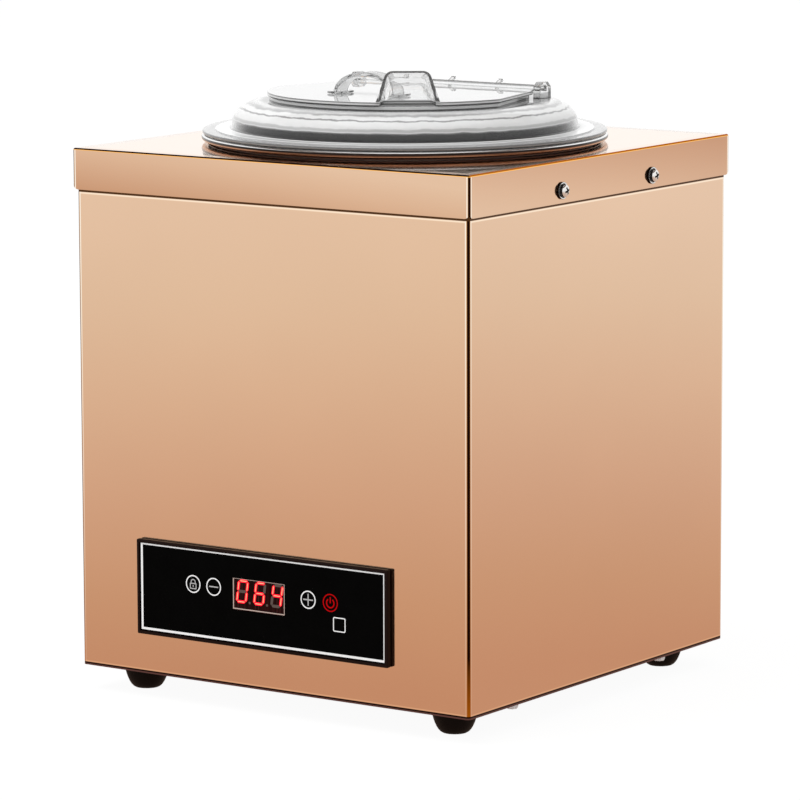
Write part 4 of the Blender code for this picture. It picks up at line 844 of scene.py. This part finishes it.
def screw_finish():
    """Chrome, with painted shade: black in the recess, in the gap round the head and on the washer's edge."""
    finish = Finish("cover_screw_steel")
    front, rear = middle_mm("cover_screw_right_front"), middle_mm("cover_screw_right_rear")
    tip = box_mm("cover_screw_right_front")[1].x
    x, y, height = finish.millimetres()
    near = finish.math("MINIMUM", *[finish.size(finish.minus(y, place.y)) for place in (front, rear)])
    up = finish.minus(height, front.z)
    reach = finish.reach(near, up)
    rings = finish.bands(reach, [(0, 0), (3.55, 0), (3.65, 1), (4.15, 1), (4.25, 0), (4.75, 0),
                                 (4.85, 1), (6, 1)])
    deep = finish.bands(finish.size(x), [(tip - 0.75, 1), (tip - 0.55, 0)])
    recess = finish.times(deep, finish.bands(reach, [(2.3, 1), (2.5, 0)]))
    grain = finish.noise(finish.place(), 900, 3)
    plain = finish.ramp(grain, [(0.3, (0.74, 0.73, 0.71)), (0.7, (0.82, 0.81, 0.79))])
    black = finish.most(rings, recess)
    return finish.done(Base_Color=finish.mix(black, plain, (0.006, 0.005, 0.005)), Specular_IOR_Level=0.1,
                       Metallic=finish.line(black, -1, 1), Roughness=finish.range(grain, 0.07, 0.13))


def make_screws():
    """Domed screw heads with a cross recess, each on its washer."""
    bright = screw_finish()
    wide, tall, shank = 3.8, 2.6, 2
    for name in CORNERS:
        low, high = box_mm(f"cover_screw_{name}")
        middle = (low + high) / 2
        side = 1 if middle.x > 0 else -1
        tip = high.x if side > 0 else low.x
        end = tall - (high.x - low.x)
        seat = along((tip - side * tall, middle.y, middle.z), (side, 0, 0))
        profile = [(0, tall)] + arc(0, tall - 2.1, wide, 84, 12, 14, 2.1)
        profile += [(wide, 0.5), (wide - 0.25, 0), (shank, 0), (shank, end), (0, end)]
        head = turned(profile, steps=64, place=seat)
        arms = []
        for turn in (20, 110):
            arm = block((-2.2, -0.6, tall - 1.3), (2.2, 0.6, tall + 2))
            arms.append(placed(arm, seat @ Matrix.Rotation(radians(turn), 4, "Z")))
        cut(head, *arms)
        dressed(head, f"cover_screw_{name}_domed", "housing", bright, [f"cover_screw_{name}"])
        low, high = box_mm(f"cover_washer_{name}")
        thick = high.x - low.x
        ring = softened([(SCREW_HOLE, 0), (5, 0), (5, thick), (SCREW_HOLE, thick)], 0.3, True)
        base = low.x if side > 0 else high.x
        washer = turned(ring, True, 64, along((base, middle.y, middle.z), (side, 0, 0)))
        dressed(washer, f"cover_washer_{name}_round", "housing", bright, [f"cover_washer_{name}"])


def make_feet():
    profile = [(2.3, 12.8), (13.2, 12.8), (13, 10.8), (12.3, 8.2), (11.5, 5.9), (10.6, 3.9), (9.5, 2.1),
               (8.3, 0.85), (7.2, 0.2), (6.2, 0), (5, 0), (5, 6), (2.3, 6)]
    for name in CORNERS:
        middle = middle_mm(f"foot_{name}")
        foot = turned(softened(profile, 0.5, True), True, 96, Matrix.Translation((middle.x, middle.y, 0)))
        dressed(foot, f"foot_{name}_moulded", "housing", foot_rubber, [f"foot_{name}"])


# ---- pot and well

def make_pot():
    bead_r, bead_z, bead = 118.6, 327.2, 1.9
    join_angle = degrees(asin((326.3 - bead_z) / bead))
    corner_r, corner_z, inner, outer = 92.5, 99.3, 16, 17
    profile = [(0, corner_z - inner)] + arc(corner_r, corner_z, inner, -90, 0, 14)
    profile += arc(110.5, 324.3, 2, 180, 90, 6)
    profile += arc(bead_r, bead_z, bead, 180 - join_angle, -90, 24)
    profile += [(110.3, 325.3)] + arc(110.3, 324.5, 0.8, 90, 180, 4)
    profile += arc(corner_r, corner_z, outer, 0, -90, 14) + [(0, corner_z - outer)]
    dressed(turned(profile), "soup_pot_spun", "pot", pot_steel, ["soup_pot"])


def make_well():
    corner_r, corner_z, inner, outer, stud = 97.5, 92.3, 14, 15, 4
    profile = [(0, corner_z - inner)] + arc(corner_r, corner_z, inner, -90, 0, 12)
    profile += [(111.5, 325)] + arc(116, 324.5, 0.5, 90, -90, 6) + [(112.5, 324)]
    profile += arc(corner_r, corner_z, outer, 0, -90, 12)
    profile += [(stud, corner_z - outer), (stud, 54.6), (stud - 0.3, 54.3), (0, 54.3)]
    dressed(turned(profile), "well_liner_spun", "housing", well_steel, ["well_liner"])


# ---- lid

FLAP_R, WAIST_Y, HINGE_Y, HINGE_Z = 81.5, -18, 47, 354.8
FLAP_LOW, FLAP_TOP, LID_TOP, COLLAR_TOP = 351.5, 353.8, 348.6, 351.2


def flap_front(inset, steps=96):
    radius = FLAP_R - inset
    waist_x = sqrt(radius * radius - WAIST_Y * WAIST_Y)
    start = degrees(atan2(WAIST_Y, waist_x))
    return arc(0, 0, radius, 180 - start, 360 + start, steps)


def d_outline(inset, rear_inset):
    """The D shape of the collar and the mouth."""
    half = min(66.5 - inset, 62.8 - rear_inset)
    line = HINGE_Y - rear_inset
    points = flap_front(inset) + [(half, line - 5), (half - 5, line), (-half + 5, line), (-half, line - 5)]
    return softened(points, 5.5, True, 12)


def flap_outline():
    points = flap_front(0) + [(66.5, 37), (62.8, 40), (62.8, HINGE_Y)]
    points += [(-62.8, HINGE_Y), (-62.8, 40), (-66.5, 37)]
    return softened(points, 2, True, 12)


def make_lid():
    dome_r, dome_z, wide, tall, thick = 83, 334.4, 19.7, 14.2, 2
    step_z, flange_r, flange_low, flange_top = 332.2, 119, 329.4, 331.4
    spigot, spigot_low, under = 107.7, 321, 330.2
    profile = [(0, LID_TOP)] + arc(dome_r, dome_z, wide, 90, 0, 36, tall)
    profile += arc(104.5, 334, 1.8, 180, 270, 8)
    step = [(104.5, step_z), (112, step_z), (112.8, flange_top), (118, flange_top)]
    profile += softened(step, 0.5)[1:-1]
    profile += arc(flange_r, 330.4, 1, 90, -90, 16)
    below = [(flange_r, flange_low), (spigot, flange_low), (spigot, spigot_low), (spigot - thick, spigot_low),
             (spigot - thick, under), (dome_r + wide - thick, under)]
    profile += softened(below, 0.45)[1:]
    profile += arc(dome_r, dome_z, wide - thick, 0, 90, 36, tall - thick) + [(0, LID_TOP - thick)]
    lid = turned(profile)
    fused(lid, plate(d_outline(1.2, 1.2), LID_TOP - 1, COLLAR_TOP, 0.5))
    cut(lid, plate(d_outline(5, 7), LID_TOP - 6, COLLAR_TOP + 4, 0.1))
    sink, rise, half, corner = LID_TOP - 4, HINGE_Z + 3.6, 6, 3
    ear = [(-half, sink), (half, sink), (half, rise - corner), (half - corner, rise),
           (corner - half, rise), (-half, rise - corner)]
    ears = []
    for side in (-1, 1):
        place = upright((side * 66.4, HINGE_Y, 0), (side, 0, 0))
        ears.append(plate(softened(ear, 0.7, True), -2.6, 2.6, 0.6, place=place))
    fused(lid, *ears)
    holes = [rod((side * 60, HINGE_Y, HINGE_Z), (side * 73, HINGE_Y, HINGE_Z), 1.9) for side in (-1, 1)]
    cut(lid, *holes)
    dressed(lid, "lid_dome_clear", "lid", lid_clear, ["lid_dome"])


HOOD_TURN, HOOD_MOUTH, HOOD_END = radians(-54.1), 80, 67.5


def hood_loop(reach, foot, top, height, corner, floor, turn):
    corners = [(foot, floor), (top, height), (-top, height), (-foot, floor)]
    shaped = softened(corners, corner, steps=8)
    outward = Vector((cos(turn), sin(turn), 0))
    across = Vector((-sin(turn), cos(turn), 0))
    return [outward * reach + across * u + Vector((0, 0, FLAP_TOP + w)) for u, w in shaped]


def hood_solid(inset, near, far, floor):
    """The hood: open at the mouth, rounded where it falls to its rear."""
    loops = []
    count = 14
    round_end = 4.5 - inset
    for i in range(count + 1):
        reach = far + (near - far) * (i / count) ** 1.4
        share = (reach - HOOD_END) / (HOOD_MOUTH - HOOD_END)
        off = reach - far
        pinch = round_end - sqrt(max(0, round_end ** 2 - (round_end - off) ** 2)) if off < round_end else 0
        foot = 17.2 + 1.8 * share - inset - pinch * 0.6
        top = 10.5 + 1.9 * share - inset - pinch * 0.5
        height = 10.6 + 7.5 * share - inset - pinch
        loops.append(hood_loop(reach, foot, top, height, 5 - inset, floor, HOOD_TURN))
    return lofted(loops)


def make_flap():
    flap = plate(flap_outline(), FLAP_LOW, FLAP_TOP, 0.6)
    pieces = [rod((-68.7, HINGE_Y, HINGE_Z), (68.7, HINGE_Y, HINGE_Z), 1.6, 48, 0.4)]
    final, rest = radians(105 - 30), radians(30)
    reach = (HINGE_Z - LID_TOP - 0.3 - cos(final) * 0.75) / sin(final)
    outward = Vector((0, cos(rest), sin(rest)))
    normal = Vector((0, -sin(rest), cos(rest)))
    turn = Matrix((Vector((1, 0, 0)), outward, normal)).transposed().to_4x4()
    for x in (-34, 0, 34):
        stop = block((-1.5, 0, -0.75), (1.5, reach, 0.75), 0.3, 3)
        pieces.append(placed(stop, Matrix.Translation((x, HINGE_Y, HINGE_Z)) @ turn))
    pieces.append(hood_solid(0, HOOD_MOUTH, HOOD_END, -1.15))
    fused(flap, *pieces)
    cavity = hood_solid(1.1, HOOD_MOUTH + 0.4, HOOD_END + 1.1, -6.3)
    turn = Matrix.Rotation(HOOD_TURN, 4, "Z")
    notch = placed(block((HOOD_MOUTH, -17, FLAP_LOW - 4), (86, 17, FLAP_TOP + 4)), turn)
    cut(flap, cavity, notch)
    dressed(flap, "lid_flap_clear", "flap", flap_clear, ["lid_flap"])


STRAP_Y, STRAP_REACH, STRAP_RISE, STRAP_THICK = -37, 21.5, 13.3, 2.4


def strap_section(a, foot, wide=6, edge=0.7):
    """A rounded cross-section of the strap, across the arch at one angle."""
    outer = Vector((STRAP_REACH * cos(a), foot + STRAP_RISE * sin(a)))
    inner = Vector(((STRAP_REACH - STRAP_THICK) * cos(a), foot + (STRAP_RISE - STRAP_THICK) * sin(a)))
    middle, half = (outer + inner) / 2, (outer - inner).length / 2
    out = (outer - inner).normalized()
    corners = [(half, wide), (-half, wide), (-half, -wide), (half, -wide)]
    loop = []
    for u, v in softened(corners, edge, True, steps=4):
        spot = middle + out * u
        loop.append(Vector((spot.x, STRAP_Y + v, max(spot.y, foot))))
    return loop


def make_handle():
    foot = FLAP_TOP + 0.3
    strap = lofted([strap_section(pi * i / 72, foot) for i in range(73)])
    pads = []
    for side in (-1, 1):
        x, wide, deep = side * (STRAP_REACH - STRAP_THICK / 2), 5.5, 7.5
        outline = softened(oblong(x - wide, STRAP_Y - deep, x + wide, STRAP_Y + deep), 2.5, True, 6)
        pads.append(plate(outline, foot, foot + 1.2, 0.5))
    fused(strap, *pads)
    dressed(strap, "flap_handle_clear", "flap", handle_clear, ["flap_handle"])


# ---- panel graphics

FACE_Y = -141.90


def prism(bm, outline, back_y, front_y):
    """An outline in (x, height) given thickness along Y."""
    back, front = bridged(bm, [[(x, y, z) for x, z in outline] for y in (back_y, front_y)])
    bm.faces.new(back)
    bm.faces.new(list(reversed(front)))


def band(bm, outer, inner, back_y, front_y):
    """A closed band between two outlines of the same count."""
    loops = ((outer, back_y), (outer, front_y), (inner, front_y), (inner, back_y))
    bridged(bm, [[(x, y, z) for x, z in outline] for outline, y in loops], True)


def circle(x, z, radius, steps=64):
    return [(x + radius * cos(2 * pi * i / steps), z + radius * sin(2 * pi * i / steps)) for i in range(steps)]


def oblong(x0, z0, x1, z1, radius=0):
    corners = [(x0, z0), (x1, z0), (x1, z1), (x0, z1)]
    return softened(corners, radius, True) if radius else corners


def printed(name, finish, flats=(), rings=()):
    """Thin shapes printed on the overlay: filled outlines, and bands between two outlines."""
    bm = bmesh.new()
    for outline in flats:
        prism(bm, outline, FACE_Y - 0.01, FACE_Y - 0.06)
    for outer, inner in rings:
        band(bm, outer, inner, FACE_Y - 0.01, FACE_Y - 0.06)
    dressed(shape_of(bm), name, "housing", finish, level=False)


def make_graphics():
    border = (oblong(-91.3, 42.2, 83.6, 94.4), oblong(-89.9, 43.6, 82.2, 93))
    square = (oblong(47.1, 56.4, 55.8, 64.9, 1), oblong(47.7, 57, 55.2, 64.3, 0.6))
    rounds = [(circle(x, z, 5.3), circle(x, z, 4.6)) for x, z in ((-53, 73.2), (-38.1, 73.1), (29.6, 72.9))]
    printed("panel_print", print_white, rings=[border, *rounds, square])

    dash = oblong(-41.4, 72.75, -34.8, 73.45)
    arm = [(3.5, 0.38), (0.38, 0.38), (0.38, 3.5)]
    quarters = ((-1, -1, arm), (1, -1, arm[::-1]), (1, 1, arm), (-1, 1, arm[::-1]))
    cross = [(29.6 + right * u, 72.9 + up * v) for right, up, part in quarters for u, v in part]
    shackle = [(-51.2, 73.8)] + arc(-53, 74.4, 1.8, 0, 180, 16) + [(-54.8, 73.8), (-54.2, 73.8)]
    shackle += arc(-53, 74.4, 1.2, 180, 0, 16) + [(-51.8, 73.8)]
    keyhole = oblong(-53.3, 71.4, -52.7, 72.6)
    lock = (oblong(-55.4, 70.2, -50.6, 73.8, 0.5), oblong(-54.8, 70.8, -51.2, 73.2, 0.3))
    printed("panel_signs", print_grey, [dash, cross, shackle, keyhole], [lock])

    broken_ring = arc(45.2, 72.6, 3, 125, 415, 40) + arc(45.2, 72.6, 2.2, 415, 125, 40)
    printed("panel_power_sign", print_red, [broken_ring, oblong(44.8, 72.6, 45.6, 76.2)],
            [(circle(45.2, 72.8, 5.25), circle(45.2, 72.8, 4.6))])


def segment_outlines(wide=8.1, tall=14.1, thick=1.75, gap=0.14):
    """The seven bars of a digit about its centre, as outlines of (x, height)."""
    w, h, t = wide / 2 - thick / 2, tall / 2 - thick / 2, thick / 2

    def bar(ax, az, bx, bz):
        direction = Vector((bx - ax, bz - az)).normalized()
        side = Vector((-direction.y, direction.x)) * t
        a = Vector((ax, az)) + direction * gap
        b = Vector((bx, bz)) - direction * gap
        return [a, a + direction * t + side, b - direction * t + side, b, b - direction * t - side,
                a + direction * t - side]

    return {"a": bar(-w, h, w, h), "b": bar(w, h, w, 0), "c": bar(w, 0, w, -h), "d": bar(w, -h, -w, -h),
            "e": bar(-w, -h, -w, 0), "f": bar(-w, 0, -w, h), "g": bar(-w, 0, w, 0)}


DIGIT_X, DIGIT_Z = -17.5, 72.6


def make_digits():
    face, pitch = -141.6, 12.4
    slant = tan(radians(8))
    lit = ("abcdef", "acdefg", "bcfg")
    bars = segment_outlines()

    def drawn_in(outline, share):
        """A bar narrowed to its glowing core."""
        centre, axis = (outline[0] + outline[3]) / 2, (outline[3] - outline[0]).normalized()
        made = []
        for p in outline:
            lengthwise = axis * (p - centre).dot(axis)
            made.append(centre + lengthwise * 0.86 + (p - centre - lengthwise) * share)
        return made

    def part(name, chosen, finish, back, front, share=None):
        bm = bmesh.new()
        for i, on in enumerate(lit):
            x = DIGIT_X + pitch * i
            for key, outline in bars.items():
                if (key in on) == chosen:
                    points = drawn_in(outline, share) if share else outline
                    prism(bm, [(x + p.x + p.y * slant, DIGIT_Z + p.y) for p in points], face - back, face - front)
            if not chosen:
                prism(bm, circle(x + 5.2, DIGIT_Z - 6.3, 0.75, 24), face - back, face - front)
        dressed(shape_of(bm), name, "housing", finish, level=False)

    part("digits_unlit", False, segment_dark, 0.01, 0.10)
    part("digits_lit", True, segment_red, 0.01, 0.12)
    part("digits_core", True, segment_core, 0.11, 0.15, 0.26)
    bm = bmesh.new()
    band(bm, oblong(-24.2, 61.8, 12.9, 80.3), oblong(-23.6, 62.4, 12.3, 79.7), face - 0.01, face - 0.2)
    dressed(shape_of(bm), "display_edge", "housing", window_beige, level=False)


# ---- gland

def make_gland_nut():
    low, high = box_mm("gland_nut")
    middle = (low + high) / 2
    radius, long = (high.x - low.x) / 2, high.y - low.y
    inner = 4.2

    def ribs(angle, z):
        return 1 - 0.035 * (0.5 + 0.5 * cos(angle * 18)) ** 4 if 0.8 < z < long * 0.62 else 1

    profile = [(inner, 0.3), (radius - 0.6, 0), (radius, 0.6), (radius, 1), (radius, long * 0.6)]
    profile += arc(inner + 1.6, long * 0.62, radius - inner - 1.6, 0, 80, 14, long * 0.38)
    profile += [(inner + 0.6, long), (inner, long - 0.5)]
    nut = turned(profile, True, 180, along((middle.x, low.y, middle.z), (0, 1, 0)), ribs)
    dressed(nut, "gland_nut_ribbed", "housing", gland_black, ["gland_nut"])


# ---- carried-over nodes

def carried_over():
    """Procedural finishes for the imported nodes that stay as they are, by how their names start."""
    steel = surface("clip_steel", (0.62, 0.61, 0.60), 0.28, 1, 0.10, 500, stretch=(1, 1, 6), bump=0.15)
    cast = surface("cast_aluminium", (0.56, 0.56, 0.55), 0.52, 1, 0.12, 700, bump=0.5, depth=0.0002)
    board = surface("circuit_board", (0.012, 0.11, 0.035), 0.40, 0, 0.30, 260, bump=0.25, stretch=(1, 1, 2))

    def wire(name, colour):
        return surface(name, colour, 0.42, 0, 0.12, 1800, bump=0.2)

    finishes = {
        "base_plate": base_dark, "foot_screw": screw_chrome, "gland": gland_black,
        "panel_bezel": panel_black, "panel_overlay": overlay_black, "display_module": display_face(),
        "probe_clip": steel, "temperature_probe": steel, "thermal_cutout": cast, "heater_plate": cast,
        "control_board": board, "power_board": board,
        "base_screw": surface("pale_zinc", (0.86, 0.88, 0.90), 0.55, 0.25, 0.06, 400, bump=0.2),
        "insulation_jacket": surface("felt", (0.62, 0.60, 0.53), 0.95, 0, 0.25, 900, bump=0.8, depth=0.0006,
                                     detail=8),
        "heating_element": surface("element_sheath", (0.30, 0.27, 0.24), 0.42, 1, 0.25, 300, bump=0.2),
        "transformer": surface("transformer_steel", (0.24, 0.23, 0.22), 0.50, 0.8, 0.30, 500, stretch=(9, 1, 1),
                               bump=0.3),
        "relay": surface("relay_case", (0.02, 0.10, 0.32), 0.35, 0, 0.10, 1500, bump=0.15),
        "terminal_block": surface("terminal_plastic", (0.62, 0.60, 0.52), 0.45, 0, 0.08, 1200, bump=0.2),
        "touch_pad": surface("sensor_foam", (0.035, 0.035, 0.035), 0.90, 0, 0.35, 1800, bump=0.9, depth=0.0003),
        "heater_lead_live": wire("wire_brown", (0.13, 0.045, 0.018)),
        "heater_lead_neutral": wire("wire_blue", (0.010, 0.045, 0.30)),
        "earth_lead": wire("wire_green", (0.10, 0.30, 0.02)),
        "sensor_lead": wire("wire_white", (0.62, 0.61, 0.58)),
        "panel_cable": wire("wire_grey", (0.20, 0.20, 0.20)),
    }
    for name, node in nodes.items():
        if node.hide_render:
            continue
        finish = next((made for start, made in finishes.items() if name.startswith(start)), zinc)
        for held in node.material_slots:
            held.material = finish
        if not node.material_slots:
            node.data.materials.append(finish)


make_cover()
make_cabinet()
make_screws()
make_feet()
make_pot()
make_well()
make_lid()
make_flap()
make_handle()
make_graphics()
make_digits()
make_gland_nut()
carried_over()
